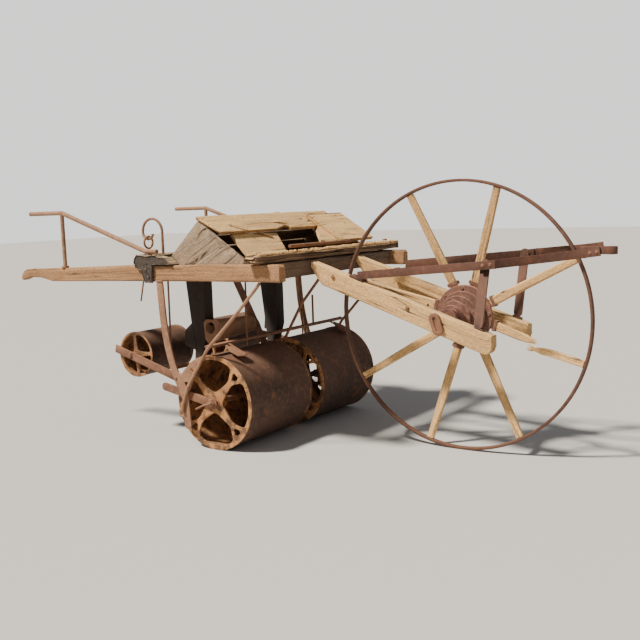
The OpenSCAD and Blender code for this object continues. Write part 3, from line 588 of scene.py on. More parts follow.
# %% Round the edges of a solid
BEVEL_FROM = math.radians(28)
SHARP_FROM = math.radians(40)


def softened(node, edge, segments=2, cutter=None):
    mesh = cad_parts[node].data.copy()
    with reworked(mesh) as work:
        bmesh.ops.remove_doubles(work, verts=work.verts, dist=2e-5)
        bmesh.ops.dissolve_limit(work, angle_limit=math.radians(1.0), verts=work.verts, edges=work.edges)
    piece = placed(node + "_finished", mesh)
    if cutter:
        cut_by(piece, cutter)
    settled(piece.modifiers.new("edges", "BEVEL"), width=edge, segments=segments, limit_method="ANGLE",
            angle_limit=BEVEL_FROM, use_clamp_overlap=True)
    applied(piece)
    piece.data.polygons.foreach_set("use_smooth", [True] * len(piece.data.polygons))
    piece.data.set_sharp_from_angle(angle=SHARP_FROM)
    return piece


print("edges sharper than", round(math.degrees(BEVEL_FROM)), "degrees are rounded")

# %% [markdown]
# ### Planks that keep the frame's shape
# Boards with notches, chips and skewed ends keep the frame's outline. Many planes cut their copy,
# along and across the fibres, so it has points enough to wear. Each check is a narrow furrow, cut by
# three planes of its own. Where a board is split open, `cracked` cuts wedges out of it along lines.

# %% Wear a plank
FURROW_HALF, FURROW_DEEP = 0.0035, 0.005


def worn(node, along, across, seed, arris=0.003, wear=0.002, rough=0.0, checks=4, pitch=0.03, fine=0.013):
    """A copy of a timber's solid, worn along its fibres. The two vectors give its grain."""
    piece = softened(node, arris, 2)
    axes = [Vector(along).normalized(), Vector(across).normalized()]
    axes.append(axes[0].cross(axes[1]))
    rng = np.random.default_rng(seed)
    with reworked(piece.data) as work:
        spots = np.array([v.co for v in work.verts]) @ np.array(axes).T
        low, high = spots.min(axis=0), spots.max(axis=0)
        furrows = []
        for number, step in enumerate((pitch, fine, fine)):
            count = max(2, round((high[number] - low[number]) / step))
            cuts = list(np.linspace(low[number], high[number], count + 1)[1:-1])
            if number == 1:
                for line in rng.uniform(low[1] + 0.008, high[1] - 0.008, checks):
                    begin, span = rng.uniform(-0.2, 0.8), rng.uniform(0.25, 0.7)
                    furrows.append((line, begin, span, rng.choice((-1, 1))))
                    cuts += [line - FURROW_HALF, line, line + FURROW_HALF]
            for where in cuts:
                bmesh.ops.bisect_plane(work, geom=work.verts[:] + work.edges[:] + work.faces[:], dist=1e-5,
                                       plane_co=axes[number] * where, plane_no=axes[number])
        work.normal_update()
        points = np.array([v.co for v in work.verts])
        normals = np.array([v.normal for v in work.verts])
        fibre = points @ np.array(axes).T
        shift = grain_shift(seed)
        inward = wear_depth(fibre + shift, seed, wear, rough)
        share = (fibre[:, 0] - low[0]) / (high[0] - low[0])
        outward = normals @ np.array(axes[2])
        for line, begin, span, face in furrows:
            here = (np.abs(fibre[:, 1] - line) < 1e-4) & (outward * face > 0.7)
            inward += FURROW_DEEP * here * swell((share - begin) / span)
        for vertex, place in zip(work.verts, points - normals * inward[:, None]):
            vertex.co = place
    set_grain(piece, fibre + shift)
    piece.data.set_sharp_from_angle(angle=SHARP_FROM)
    return piece


def cracked(piece, out, lines, depth=0.03):
    """Cut open cracks into a board: each line is a row of (place on the surface, half width)."""
    points, faces = [], []
    out = np.array(out, float)
    for line in lines:
        places = np.array([p for p, _ in line], float)
        ways = np.gradient(places, axis=0)
        first = len(points)
        for place, way, (_, half) in zip(places, ways, line):
            side = np.cross(out, way / np.linalg.norm(way)) * half
            points += [place + out * 0.004 - side, place + out * 0.004 + side,
                       place - out * depth + side * 0.7, place - out * depth - side * 0.7]
        last = len(points) - 4
        faces += tube_faces(len(line), 4, first)
        faces += [(first + 3, first + 2, first + 1, first), (last, last + 1, last + 2, last + 3)]
    cutter = cutter_of(points, faces)
    cut_by(piece, cutter)
    applied(piece)
    bpy.data.objects.remove(cutter)
    print(piece.name, len(lines), "cracks")
    return piece


def boarded(node, slot, along, across, seed, finish=None, **wear):
    """A worn board in the place of its solid."""
    dress(worn(node, along, across, seed, **wear), "frame", slot, node, finish=finish)


def slope(angle, way=1):
    """The direction down a slope, which falls forwards or backwards, and the one straight out of it."""
    level, steep = math.cos(angle), math.sin(angle)
    return np.array((way * level, 0, -steep)), np.array((way * steep, 0, level))


RIGHT, LEFT = -1, 1
SIDES = (("right", RIGHT), ("left", LEFT))
X = np.array((1.0, 0.0, 0.0))
Y = np.array((0.0, 1.0, 0.0))
Z = np.array((0.0, 0.0, 1.0))

# %% [markdown]
# ## Handles
# Each handle is one long ash pole, drawn down to a round grip behind, with a shallow hollow under the
# grip for the fingers. It lies flat under the cross beam and the rear plank.

# %% Handles
def upright(x, y_low, y_high, z_low, z_high):
    """A station in a plane across the drill: its centre, half width and half height."""
    middle = at(x, (y_low + y_high) / 2, (z_low + z_high) / 2)
    return (middle, Y * (y_high - y_low) / 2, Z * (z_high - z_low) / 2)


# Distance ahead of the wheel's axle and height over the deck
HANDLE_TOP = ((-0.61, -0.012), (-0.619, 0.0), (-0.82, 0.0), (-1.267, -0.01), (-1.552, -0.01),
              (-2.12, -0.033), (-2.4, -0.04), (-2.425, -0.05), (-2.44, -0.066), (-2.449, -0.082))
HANDLE_FOOT = ((-0.61, -0.086), (-1.05, -0.088), (-1.44, -0.094), (-1.8, -0.101), (-2.12, -0.107),
               (-2.19, -0.108), (-2.235, -0.098), (-2.29, -0.089), (-2.37, -0.087), (-2.41, -0.096),
               (-2.44, -0.106), (-2.449, -0.1))


def drop(line, x):
    """The height on a line of (place, height) pairs that run backwards."""
    places, heights = zip(*line[::-1])
    return float(np.interp(x, places, heights))


for side, s in SIDES:
    low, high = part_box("handle_" + side)
    places = sorted({x for x, _ in HANDLE_TOP + HANDLE_FOOT}, reverse=True)
    stations = [upright(x, low.y, high.y, DECK_Z + drop(HANDLE_FOOT, x), DECK_Z + drop(HANDLE_TOP, x))
                for x in places]
    pole = timber("handle_" + side + "_pole", stations, 3 + s, arris=0.009, checks=5)
    dress(pole, "frame", "bleached_wood", "handle_" + side, finish="oiled_wood")
print("handles", len(pole.data.vertices), "points each")

# %% [markdown]
# ## Fork beams
# Two heavy beams slope down past the wheel and carry its axle. Their front ends are rounded below,
# their rear ends are cut away under the cross beam, and a liner plank stiffens the inner face.

# %% Fork beams
BEAM_FALL = math.radians(18.75)
BEAM_SLOPE = math.tan(BEAM_FALL)
BEAM_TOP = WHEEL_R + 0.044
BEAM_DEPTH = 0.097 / math.cos(BEAM_FALL)
BEAM_FRONT = 0.27
BEAM_ROUND = 0.046
BEAM_HEEL = -0.628
BEAM_INNER = 0.18
LINER_SPAN = (-0.449, -0.079)


def beam_top(x):
    return BEAM_TOP - BEAM_SLOPE * x


def beam_foot(x):
    """The beam's underside, rounded up at the front and cut away behind."""
    foot = beam_top(x) - BEAM_DEPTH
    toe = x - (BEAM_FRONT - BEAM_ROUND)
    if toe > 0:
        foot += BEAM_ROUND * 1.1 - math.sqrt(max(BEAM_ROUND ** 2 - toe ** 2, 0)) * 1.1
    return foot + max(BEAM_HEEL - x, 0)


for side, s in SIDES:
    low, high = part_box("fork_beam_" + side)
    width = (low.y, -BEAM_INNER) if s == RIGHT else (BEAM_INNER, high.y)
    places = (0.2695, 0.262, 0.252, 0.24, 0.224, 0.0, -0.3, BEAM_HEEL, -0.69)
    stations = [upright(x, *width, beam_foot(x), beam_top(x)) for x in places]
    beam = timber("beam", stations, 20 + s, arris=0.007, checks=3, wear=0.002)
    liner_y = sorted((s * 0.1545, s * 0.1805))
    plank = timber("liner", [upright(x, *liner_y, beam_top(x) - 0.052, beam_top(x) + 0.007)
                             for x in LINER_SPAN[::-1]], 24 + s, arris=0.004, checks=2)
    both = joined("fork_beam_" + side + "_timbers", [beam, plank])
    dress(both, "frame", "bleached_wood", "fork_beam_" + side)
print("fork beams", len(both.data.vertices), "points each")

# %% [markdown]
# ## Cross timbers
# The cross beam is hewn with an axe: its top edge rises and falls, and its front is rough and dark,
# the dark painted as shade under a pale top. The sill under it is out of the sun. The rear plank is
# grey and lies on both handles; its sides are dark brown, partly its own colour and partly painted
# shade, under a pale top.

# %% Cross beam, sill and rear plank
boarded("cross_beam", "bleached_wood", Y, X, 31, "hewn_painted_shade", arris=0.007, wear=0.007, rough=0.009,
        checks=3, pitch=0.018)
# The sill's dark finish is painted shade.
boarded("cross_sill", "dark_wood", Y, X, 33, arris=0.005, wear=0.003, rough=0.004)
boarded("rear_plank", "grey_wood", Y, X, 35, "dark_and_shaded_wood", arris=0.006, wear=0.003, rough=0.004, checks=6)
print("a cross beam, a sill and a rear plank")

# %% [markdown]
# ## Seed box
# The gables' fibres fall to the rear. The right hand one is split under the ridge and at a joint:
# each crack is a row of places, with its half width at each.

# %% Gable boards
ROOF_FRONT = math.radians(33)
ROOF_BACK = math.radians(43)
BOX_FRONT, BOX_BACK = -0.826, -1.366
RIDGE_RUN = (BOX_FRONT - BOX_BACK) * math.tan(ROOF_BACK) / (math.tan(ROOF_FRONT) + math.tan(ROOF_BACK))
RIDGE = np.array(at(BOX_FRONT - RIDGE_RUN, 0, DECK_Z + RIDGE_RUN * math.tan(ROOF_FRONT)))
BOARD = 0.022
DOWN_FRONT, OUT_FRONT = slope(ROOF_FRONT)
DOWN_BACK, OUT_BACK = slope(ROOF_BACK, -1)
FIBRES, ACROSS = slope(math.radians(29), -1)
GABLE_Y = 0.554
GABLE_CRACKS = (
    ((-1.088, 1.103, 0.0045), (-1.112, 1.096, 0.003), (-1.133, 1.078, 0.0035), (-1.146, 1.052, 0.0006)),
    ((-0.93, 1.016, 0.0018), (-0.985, 0.998, 0.0012), (-1.046, 0.964, 0.0006)),
    ((-1.062, 1.08, 0.001), (-1.01, 1.046, 0.0014), (-0.962, 1.014, 0.0006)),
    ((-1.148, 0.96, 0.0015), (-1.158, 0.951, 0.005), (-1.17, 0.943, 0.006)))
for side, s in SIDES:
    board = worn("box_end_" + side, FIBRES, ACROSS, 41 + s, checks=6)
    if s == RIGHT:
        lines = [[(at(x, -GABLE_Y, z), half) for x, z, half in line] for line in GABLE_CRACKS]
        board = cracked(board, -Y, lines)
    dress(board, "frame", "grey_wood", "box_end_" + side)

# %% [markdown]
# ### Roof boards
# The ridge board has a split chip, the left panel sits over a skewed board, and the right panel has
# slipped: its upper edge is caught under the ridge board and its foot stands on the rail.

# %% Roof boards
DOWN_PANEL, OUT_PANEL = slope(math.radians(36))
RIDGE_W = 0.138
CATCH = RIDGE + DOWN_FRONT * (RIDGE_W - 0.02)


def on_ridge(down, y, lift=BOARD):
    return RIDGE + DOWN_FRONT * down + OUT_FRONT * lift + Y * y


def on_panel(down, y, lift=0.0):
    return CATCH + DOWN_PANEL * down + OUT_PANEL * lift + Y * y


def trimmed(piece, place, outward):
    """Cut a board off with one plane, and close the cut."""
    with reworked(piece.data) as work:
        result = bmesh.ops.bisect_plane(work, geom=work.verts[:] + work.edges[:] + work.faces[:], dist=1e-6,
                                        plane_co=Vector(place), plane_no=Vector(outward), clear_outer=True)
        rim = [item for item in result["geom_cut"] if isinstance(item, bmesh.types.BMEdge)]
        bmesh.ops.holes_fill(work, edges=rim)
    return piece


ridge = worn("ridge_board", Y, DOWN_FRONT, 51, checks=6)
left_end = on_ridge(RIDGE_W, -0.512) - on_ridge(-0.01, -0.556)
ridge = trimmed(ridge, on_ridge(RIDGE_W, -0.512), np.cross(OUT_FRONT, left_end) * (-1, -1, -1))
SPLITS = (((0.088, -0.27, 0.001), (0.079, -0.15, 0.0024), (0.08, -0.043, 0.0026),
           (0.099, 0.038, 0.0055), (0.094, 0.08, 0.001)),
          ((0.088, -0.4, 0.0015), (0.112, -0.352, 0.0045), (0.142, -0.312, 0.006)),
          ((0.12, -0.128, 0.001), (0.127, 0.06, 0.0016), (0.118, 0.19, 0.001)))
SPLITS = [[(on_ridge(down, y), half) for down, y, half in line] for line in SPLITS]
dress(cracked(ridge, OUT_FRONT, SPLITS), "frame", "bleached_wood", "ridge_board")
CURL = ((-0.05, 0.078, -0.001, 0.003, 0.0015), (-0.03, 0.076, 0.001, 0.01, 0.003),
        (0.005, 0.08, 0.003, 0.013, 0.004), (0.03, 0.087, 0.002, 0.009, 0.003),
        (0.042, 0.093, 0.000, 0.003, 0.0015))
curl = [(on_ridge(down, y, BOARD + lift), DOWN_FRONT * half, OUT_FRONT * thick)
        for y, down, lift, half, thick in CURL]
dress(timber("curl", curl, 59, arris=0.004, checks=0), "frame", "bleached_wood")
RIDGE_LIP = ((-0.405, 0.082, 0.001), (-0.37, 0.096, 0.004), (-0.335, 0.116, 0.006), (-0.315, 0.131, 0.004))
PANEL_LIP = ((-0.262, 0.000, 0.002), (-0.23, 0.01, 0.004), (-0.18, 0.037, 0.005), (-0.14, 0.064, 0.001))
for number, (spot, top, line) in enumerate(((on_ridge, BOARD, RIDGE_LIP), (on_panel, 0.0, PANEL_LIP))):
    rows = [(spot(down, y, top + lift), DOWN_FRONT * 0.006, OUT_FRONT * 0.003) for y, down, lift in line]
    dress(timber("lip", rows, 101 + number, arris=0.002, checks=0), "frame", "bleached_wood")
boarded("front_panel_left", "bleached_wood", Y, DOWN_FRONT, 53, checks=6)
panel = worn("front_panel_right", Y, DOWN_PANEL, 55, checks=5)
panel = cracked(panel, OUT_PANEL, ([(on_panel(0.004, -0.27), 0.0055), (on_panel(0.034, -0.205), 0.007),
                                    (on_panel(0.054, -0.172), 0.0065), (on_panel(0.074, -0.14), 0.001)],))
dress(panel, "frame", "bleached_wood", "front_panel_right")

# %% [markdown]
# ### Back roof, floor and rails
# Three planks close the back of the roof. The floor and the rails under it are dark, as painted shade.

# %% Back roof, floor and rails
low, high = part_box("back_roof_board")
BACK_RUN = (-BOX_BACK + BOX_FRONT - RIDGE_RUN) / math.cos(ROOF_BACK)


def roof_plank(y, start, stop):
    """A station of a board in the back roof: start and stop are measured down from the ridge."""
    middle = RIDGE + DOWN_BACK * (start + stop) / 2 - OUT_BACK * BOARD / 2 + Y * y
    return (middle, DOWN_BACK * (stop - start) / 2, OUT_BACK * BOARD / 2)


boards = []
for number, (start, stop) in enumerate(((0.006, 0.095), (0.098, 0.182), (0.185, BACK_RUN + 0.002))):
    boards.append(timber("back", [roof_plank(y, start, stop) for y in (low.y, high.y)], 57 + number,
                         arris=0.003, checks=4))
dress(joined("back_roof_planks", boards), "frame", "grey_wood", "back_roof_board")
boarded("box_floor", "dark_wood", Y, X, 61, arris=0.002)
boarded("box_rails", "dark_wood", Y, X, 63)
print("back roof", len(boards), "planks")

# %% [markdown]
# ## Spokes
# The wheel is dished: each spoke stands straight between the flanges of the nave, left of the middle,
# and then leans in to the tyre. One is broken: its stub still stands in the nave, and the outer half
# hangs splintered from the tyre.

# %% Spokes
SPOKE_ANGLES = (113.7, 71.8, 25.7, -61.7, -105.4, -148.7, 165)
BROKEN_ANGLE = -17
NAVE_R = 0.092
FLANGE_OUT = 0.15
DISH = 0.073
TYRE_IN = WHEEL_R - 0.014
AXLE = np.array(at(0, 0, WHEEL_R))


def lean(radius):
    """How far the middle of a spoke lies to the left of the tyre's middle."""
    return DISH * min(1.0, (WHEEL_R - radius) / (WHEEL_R - FLANGE_OUT))


def spoke_station(radius, angle, half_axial, half_tangent, bow=0.0):
    turn = math.radians(angle)
    radial = np.array((math.cos(turn), 0, math.sin(turn)))
    tangent = np.array((-math.sin(turn), 0, math.cos(turn)))
    centre = AXLE + radial * radius + tangent * bow + Y * lean(radius)
    return centre, Y * half_axial, tangent * half_tangent


WHOLE = ((NAVE_R + 0.001, 0.0128, 0.0245), (FLANGE_OUT, 0.0128, 0.024), (0.3, 0.0125, 0.023),
         (0.5, 0.0122, 0.021), (TYRE_IN - 0.0015, 0.012, 0.0195))
STUB = ((NAVE_R + 0.001, 0.0128, 0.0245, 0), (FLANGE_OUT, 0.0128, 0.024, 0), (0.335, 0.012, 0.0215, 0),
        (0.352, 0.011, 0.017, -0.001), (0.366, 0.008, 0.0095, 0.001), (0.377, 0.003, 0.003, 0.003))
LOOSE = ((0.352, 0.002, 0.002, -0.037), (0.372, 0.006, 0.0075, -0.035), (0.392, 0.009, 0.0125, -0.031),
         (0.425, 0.0115, 0.0185, -0.026), (0.47, 0.0122, 0.02, -0.02),
         (TYRE_IN - 0.0015, 0.012, 0.0192, -0.006))
spokes = []
for number, angle in enumerate(SPOKE_ANGLES):
    rows = [spoke_station(radius, angle, *sizes) for radius, *sizes in WHOLE]
    spokes.append(timber("spoke", rows, 70 + number, arris=0.009, checks=2))
for number, half in enumerate((STUB, LOOSE)):
    rows = [spoke_station(radius, BROKEN_ANGLE, *sizes) for radius, *sizes in half]
    spokes.append(timber("half", rows, 90 + number, arris=0.008, checks=3, rough=0.002))
spokes_piece = joined("spokes_shaved", spokes)
dress(spokes_piece, "big_wheel", "bleached_wood", "wheel_spokes")
print("spokes", len(spokes_piece.data.vertices), "points")

# %% [markdown]
# ## Openings of the cast roller ends
# The photograph shows a thinner ring and slimmer arms than the frame's. So each opening gets a wider
# outline, in shares of the roller's radius and degrees from its own middle, with its corners cut off
# twice to round them. A prism of that outline runs through both ends, and is cut out of them.

# %% Prisms that widen the openings
QUARTERS = (0, 90, 180, 270)
END_OPENING = {"front": (0, ((0.4, 33), (0.61, 40.5), (0.76, 35.5), (0.91, 31), (0.91, 15))),
               "rear": (50, ((0.4, 31), (0.62, 38), (0.88, 40.5), (0.9, 20)))}
OPENING_TIP = 0.19
FORK_HOLE = ((0.665, 0), (0.88, 7.2), (0.88, -7.2))


def eased(outline, rounds):
    """An outline with its corners cut off, a few times over."""
    for _ in range(rounds):
        ahead = np.roll(outline, -1, axis=0)
        outline = np.stack((0.75 * outline + 0.25 * ahead, 0.25 * outline + 0.75 * ahead), axis=1)
        outline = outline.reshape(-1, 2)
    return outline


def end_prisms(node):
    low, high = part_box(node)
    middle, radius = (low + high) / 2, (high.z - low.z) / 2
    turn, side = END_OPENING[node.split("_")[0]]
    large = [(OPENING_TIP, 0), *side, (side[-1][0], 0), *((r, -a) for r, a in reversed(side))]
    outlines = [(turn + quarter, large, 2) for quarter in QUARTERS]
    if turn == 0:
        outlines += [(45 + quarter, FORK_HOLE, 1) for quarter in QUARTERS]
    points, faces = [], []
    for at_turn, outline, rounds in outlines:
        angles = np.radians([a + at_turn for _, a in outline])
        far = np.array([r for r, _ in outline]) * radius
        ring = eased(np.stack((far * np.cos(angles), far * np.sin(angles)), axis=1), rounds)
        first, n = len(points), len(ring)
        for y in (low.y - 0.01, high.y + 0.01):
            points += [(middle.x + x, y, middle.z + z) for x, z in ring]
        faces += [range(first, first + n)[::-1], range(first + n, first + 2 * n), *tube_faces(2, n, first)]
    return cutter_of(points, faces)


print("points round a fork's hole", len(eased(np.array(FORK_HOLE), 1)))

# %% [markdown]
# ## Irons
# All other irons keep the frame's shapes. Their edges are rounded a little, more on castings.

# %% Wrought irons and castings
PAIRED = ("draught_bar", "draught_strut", "guide_rod", "lift_hook", "leg", "brace_rod", "side_bar",
          "seed_spout")
SINGLE = ("hitch_eye", "hatch_rod", "centre_hanger", "lift_rods", "scrapers", "feed_drum", "front_axle",
          "cross_ties", "rear_axle", "main_axle")
FORGED = [name + "_" + side for name in PAIRED for side, _ in SIDES] + list(SINGLE)
FORGED_EDGE = 0.0015
ROLLER_EDGE = {"front": 0.004, "rear": 0.003}
# The seed spouts take the near-black iron, which paints their shade.
IRON_FROM = {("draught", "hitch"): "draught_iron", ("seed_spout",): "shade_black_iron",
             ("leg", "brace", "guide", "lift_hook", "feed"): "dusty_iron"}
for node in FORGED:
    finish = next((iron for starts, iron in IRON_FROM.items() if node.startswith(starts)), "rusty_iron")
    dress(softened(node, FORGED_EDGE), "frame", "rusty_iron", node, finish=finish)
dress(softened("wheel_rim", 0.004, 3), "big_wheel", "rusty_iron", "wheel_rim", finish="tyre_iron")
dress(softened("wheel_hub", 0.002, 3), "big_wheel", "rusty_casting", "wheel_hub", finish="nave_iron")
for row, side in (("front", "right"), ("front", "left"), ("rear", "right"), ("rear", "left")):
    node = row + "_roller_" + side
    prisms = end_prisms(node)
    piece = softened(node, ROLLER_EDGE[row], 3, prisms)
    bpy.data.objects.remove(prisms)
    print(node, "openings widened:", len(piece.data.vertices), "points")
    low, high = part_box(node)
    hollow = np.array((low.x + high.x, 0, low.z + high.z)) / 2
    drum = (high.z - low.z) / 2 - 0.004
    # Faces off the drum's outside are open: the finish paints them orange as if sunlit, and the drum's
    # outside dark as painted shade.
    lit_open_faces = []
    for face in piece.data.polygons:
        arm = np.array(face.center) * (1, 0, 1) - hollow
        away = np.linalg.norm(arm)
        lit_open_faces.append(not (away > drum and np.dot(arm, face.normal) > 0.8 * away))
    piece.data.attributes.new("open", "FLOAT", "FACE").data.foreach_set("value", np.float32(lit_open_faces))
    dress(piece, node.replace(side, side[0]), "rusty_casting", node)

# %% [markdown]
# ## Bolts, rivets and nails
# A head is a small cone frustum. One Geometry Nodes tree puts a head on each point of a mesh, stands
# it along the point's own direction and turns it by chance, with a fixed seed. So a bolt is one line
# in a list: where it is, which way it looks and how wide it is.

# %% A tree that puts a head on each point
HEAD_SEED = 5


def heads_tree():
    tree = bpy.data.node_groups.new("heads", "GeometryNodeTree")
    for name, kind in (("Geometry", "Geometry"), ("Sides", "Int"), ("Top share", "Float"),
                       ("Height share", "Float"), ("Finish", "Material")):
        tree.interface.new_socket(name, in_out="INPUT", socket_type="NodeSocket" + kind)
    tree.interface.new_socket("Geometry", in_out="OUTPUT", socket_type="NodeSocketGeometry")
    put = functools.partial(add_node, tree)
    given = put("NodeGroupInput").outputs
    out = put("GeometryNodeInputNamedAttribute", {"Name": "out"}, data_type="FLOAT_VECTOR").outputs[0]
    size = put("GeometryNodeInputNamedAttribute", {"Name": "size"}, data_type="FLOAT").outputs[0]
    head = put("GeometryNodeMeshCone", {"Vertices": given["Sides"], "Radius Top": given["Top share"],
                                        "Radius Bottom": 1.0, "Depth": given["Height share"]})
    turn = put("FunctionNodeRandomValue", {"Min": 0.0, "Max": 6.283, "Seed": HEAD_SEED}, data_type="FLOAT")
    chance = next(o for o in turn.outputs if o.enabled and o.type == "VALUE")
    spin = put("FunctionNodeAxisAngleToRotation", {"Axis": (0, 0, 1), "Angle": chance})
    stand = put("FunctionNodeAlignRotationToVector", {"Rotation": spin.outputs[0], "Vector": out}, axis="Z")
    placed = put("GeometryNodeInstanceOnPoints", {"Points": given["Geometry"], "Scale": size,
                                                  "Instance": head.outputs["Mesh"],
                                                  "Rotation": stand.outputs[0]})
    real = put("GeometryNodeRealizeInstances", {"Geometry": placed.outputs[0]})
    finished = put("GeometryNodeSetMaterial", {"Geometry": real.outputs[0], "Material": given["Finish"]})
    put("NodeGroupOutput", {0: finished.outputs[0]})
    return tree


HEADS = heads_tree()


def heads(name, body, spots, sides, top=0.75, height=0.6, slot="rusty_iron", finish=None):
    """Heads on a list of (place, direction, half width)."""
    places, ways, sizes = zip(*spots)
    piece = solid(name, places, [])
    mesh = piece.data
    out = mesh.attributes.new("out", "FLOAT_VECTOR", "POINT").data
    out.foreach_set("vector", np.ravel(ways).astype(np.float32))
    mesh.attributes.new("size", "FLOAT", "POINT").data.foreach_set("value", np.array(sizes, np.float32))
    maker = piece.modifiers.new("heads", "NODES")
    maker.node_group = HEADS
    sockets = {i.name: i.identifier for i in HEADS.interface.items_tree if i.in_out == "INPUT"}
    for socket, value in (("Sides", sides), ("Top share", top), ("Height share", height),
                          ("Finish", FINISHES[finish or slot])):
        maker[sockets[socket]] = value
    dress(applied(piece), body, slot, finish=finish)
    print(name, len(spots), "heads", len(piece.data.polygons), "faces")


# %% [markdown]
# ### Bolts and rivets of the frame
# Both sides have the same ones. The left draught bar lies higher than the right one.

# %% Bolts and rivets of the frame
DOWN_BEAM, BEAM_NORMAL = slope(BEAM_FALL)
DECK_SPOT = DECK_Z + 0.058
PLANK_SPOT = DECK_Z + 0.045
LIFT = {RIGHT: 0.0, LEFT: 0.022}
bolts, rivets, nuts = [], [], []
for s in (RIGHT, LEFT):
    sideways, lift = Y * s, LIFT[s]
    bolts += [(at(-0.745, s * 0.58, DECK_SPOT - 0.011 + 0.003 * s), Z, 0.015),
              (at(-1.452, s * 0.58, PLANK_SPOT - 0.004), Z, 0.015),
              (at(-1.47, s * 0.3, PLANK_SPOT - 0.004), Z, 0.012)]
    bolts += [(at(x, s * 0.2385, beam_top(x) - 0.036), sideways, 0.013) for x in (-0.56, -0.15)]
    for x, y, back, rise, size in ((-0.43, 0.215, 0.022, 0.009, 0.012),
                                   (0.203, 0.219, 0.012, 0.007, 0.008)):
        foot = np.array(at(x, s * y, beam_top(x)))
        bolts.append((foot - DOWN_BEAM * back + BEAM_NORMAL * rise, BEAM_NORMAL, size))
    rivets += [(at(x, s * y, z), way, size) for x, y, z, way, size in (
        (0.236, 0.2495, 0.912 + lift, sideways, 0.01), (0.272, 0.2495, 0.916 + lift, sideways, 0.01),
        (0.638, 0.0275, 0.954 + lift, sideways, 0.009), (0.668, 0.0275, 0.958 + lift, sideways, 0.009),
        (-1.296, 0.5995, 0.352, sideways, 0.011), (-1.243, 0.5995, 0.271, sideways, 0.011),
        (-1.074, 0.59, 0.5305, Z, 0.01),
        (-1.446, 0.6215, 0.905, sideways, 0.006), (-1.432, 0.6215, 0.868, sideways, 0.006))]
    nuts += [(at(-1.075, s * 0.5895, 0.24), sideways, 0.026),
             (at(-1.7, s * 0.5155, 0.43), sideways, 0.02)]
heads("frame_bolts", "frame", bolts, 4)
heads("frame_rivets", "frame", rivets, 10, 0.55, 0.5)
heads("frame_nuts", "frame", nuts, 6, 0.86, 0.42)

# %% [markdown]
# ### Nails in the roof boards
# The nails of the ridge board stand over both gables, those of the left panel at its two ends.

# %% Nails in the roof boards
NAIL_SINK = 0.002
NAIL_R = 0.0045
nails = []
for boards_up, ends, rows in ((1, (-0.543, 0.543), (0.02, 0.068, 0.112)),
                              (2, (0.33, 0.543), (0.08, 0.16, 0.235, 0.3))):
    nails += [(on_ridge(down, y, boards_up * BOARD - NAIL_SINK), OUT_FRONT, NAIL_R)
              for y in ends for down in rows]
heads("roof_nails", "frame", nails, 6, 0.6, 0.5)

# %% [markdown]
# ### Crumbs along the cross beam's top edge
# The hewn edge has crumbled into short stubs of wood that point all ways.

# %% Crumbs along the cross beam's top edge
low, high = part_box("cross_beam")
CRUMBS = 260
chance = np.random.default_rng(23)
crumbs = []
for y in np.sort(chance.uniform(low.y + 0.02, high.y - 0.02, CRUMBS)):
    place = (high.x - 0.006 - 0.022 * chance.random(), y, high.z - 0.012)
    way = (chance.uniform(-0.2, 1.0), chance.uniform(-0.6, 0.6), chance.uniform(0.4, 1.0))
    crumbs.append((place, way, chance.uniform(0.003, 0.008)))
heads("crumbs", "frame", crumbs, 5, 0.5, 0.9, "bleached_wood")

# %% [markdown]
# ## The nave's fittings
# A strap of thin iron holds each spoke at the flange, and a bolt goes through both flanges between
# two spokes. They turn with the wheel.

# %% Straps and flange bolts
STRAP_FROM, STRAP_TO = 0.152, 0.168
STRAP_T = 0.0022
STRAP_WIDE, STRAP_TALL = 0.0129, 0.0248
FLANGE_BOLT_OUT, FLANGE_FACE, FLANGE_BOLT_R = 0.131, 0.0485, 0.009
RING = ((-1, -1), (1, -1), (1, 1), (-1, 1))


def strap(angle):
    """A flat band round a spoke: four inner and four outer corners at each end."""
    points = []
    for radius in (STRAP_FROM, STRAP_TO):
        middle, axial, tangent = spoke_station(radius, angle, 1, 1)
        for extra in (0.0, STRAP_T):
            wide, tall = axial * (STRAP_WIDE + extra), tangent * (STRAP_TALL + extra)
            points += [middle + wide * a + tall * b for a, b in RING]
    faces = []
    for i in range(4):
        j = (i + 1) % 4
        faces += [(4 + i, 4 + j, 12 + j, 12 + i), (j, i, 8 + i, 8 + j), (i, j, 4 + j, 4 + i),
                  (8 + j, 8 + i, 12 + i, 12 + j)]
    return solid("strap", points, faces, smooth=False)


angles = sorted((*SPOKE_ANGLES, BROKEN_ANGLE))
dress(joined("spoke_straps", [strap(a) for a in angles]), "big_wheel", "rusty_iron", finish="nave_iron")
middles = [(a + b) / 2 for a, b in zip(angles, angles[1:] + [angles[0] + 360])]
flange = [(spoke_station(FLANGE_BOLT_OUT, a, 1, 1)[0] * (1, 0, 1) + Y * FLANGE_FACE, -Y, FLANGE_BOLT_R)
          for a in middles]
heads("flange_bolts", "big_wheel", flange, 6, 0.85, 0.7, "rusty_casting", "nave_iron")

# %% [markdown]
# ### Splinters of the broken spoke
# Long thin heads stand out of both broken ends, along the spoke.

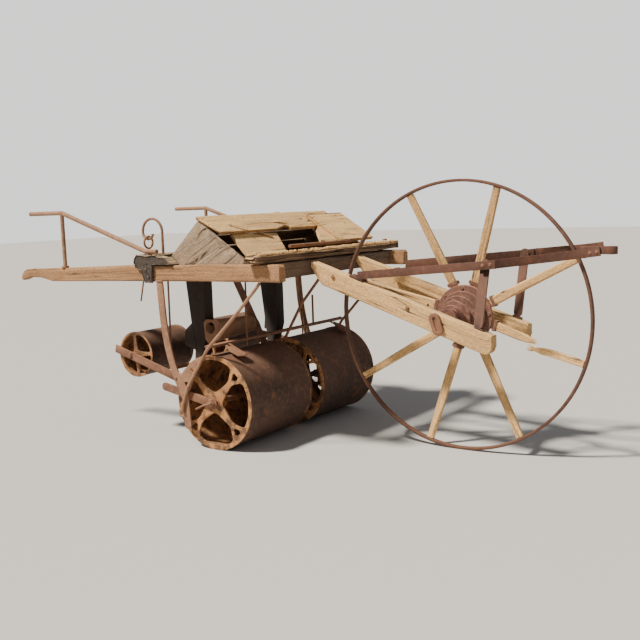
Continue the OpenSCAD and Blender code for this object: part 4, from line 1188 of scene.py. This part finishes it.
# %% Splinters of the broken spoke
SPLINTERS = 16
broken = math.radians(BROKEN_ANGLE)
outwards = np.array((math.cos(broken), 0, math.sin(broken)))
chance = np.random.default_rng(17)
splinters = []
for radius, towards, bow in ((0.352, 1, 0.0), (0.372, -1, -0.033)):
    for _ in range(SPLINTERS):
        middle, axial, tangent = spoke_station(radius + 0.012 * chance.random(), BROKEN_ANGLE, 1, 1, bow)
        across = chance.uniform(-1, 1)
        place = middle + axial * chance.uniform(-0.006, 0.006) + tangent * across * 0.011
        way = outwards * towards + tangent * across * 0.25 + axial * chance.uniform(-0.2, 0.2)
        splinters.append((place, way, chance.uniform(0.0016, 0.003)))
heads("splinters", "big_wheel", splinters, 4, 0.0, 14.0, "bleached_wood")

# %% [markdown]
# ## Pins
# A bent key holds each front roller's axle, and a loose pin hangs under the right hand cleat.

# %% Keys and the loose pin
def pin(name, start, stop, radius, sides=12):
    """A round pin with its ends a little rounded."""
    start, stop = np.array(start), np.array(stop)
    way = (stop - start) / np.linalg.norm(stop - start)
    side = np.cross(way, Y if abs(way[1]) < 0.9 else X)
    side /= np.linalg.norm(side)
    other = np.cross(way, side)
    points = []
    soft = radius * 0.35
    for place, width in ((start, radius - soft), (start + way * soft, radius), (stop - way * soft, radius),
                         (stop, radius - soft)):
        turns = np.arange(sides) / sides * 2 * math.pi
        points += [place + width * (math.cos(t) * side + math.sin(t) * other) for t in turns]
    caps = [range(sides)[::-1], range(3 * sides, 4 * sides)]
    return solid(name, points, caps + tube_faces(4, sides))


KEY_R, PIN_R = 0.0055, 0.0045
pins = []
for s in (RIGHT, LEFT):
    pins += [pin("key", at(-1.062, s * 0.6025, 0.244), at(-1.12, s * 0.6035, 0.228), KEY_R),
             pin("key", at(-1.116, s * 0.6035, 0.229), at(-1.168, s * 0.6035, 0.205), KEY_R)]
pins.append(pin("pin", at(-1.484, -0.6, 0.85), at(-1.512, -0.6, 0.739), PIN_R))
dress(joined("keys_and_pin", pins), "frame", "rusty_iron")
print("pins", len(pins))

# %% [markdown]
# ## The size
# Everything is built to stay inside the frame's own box. Here the bounds of all that is shown, the floor
# left out, are measured.

# %% Measure the size
low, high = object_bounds()
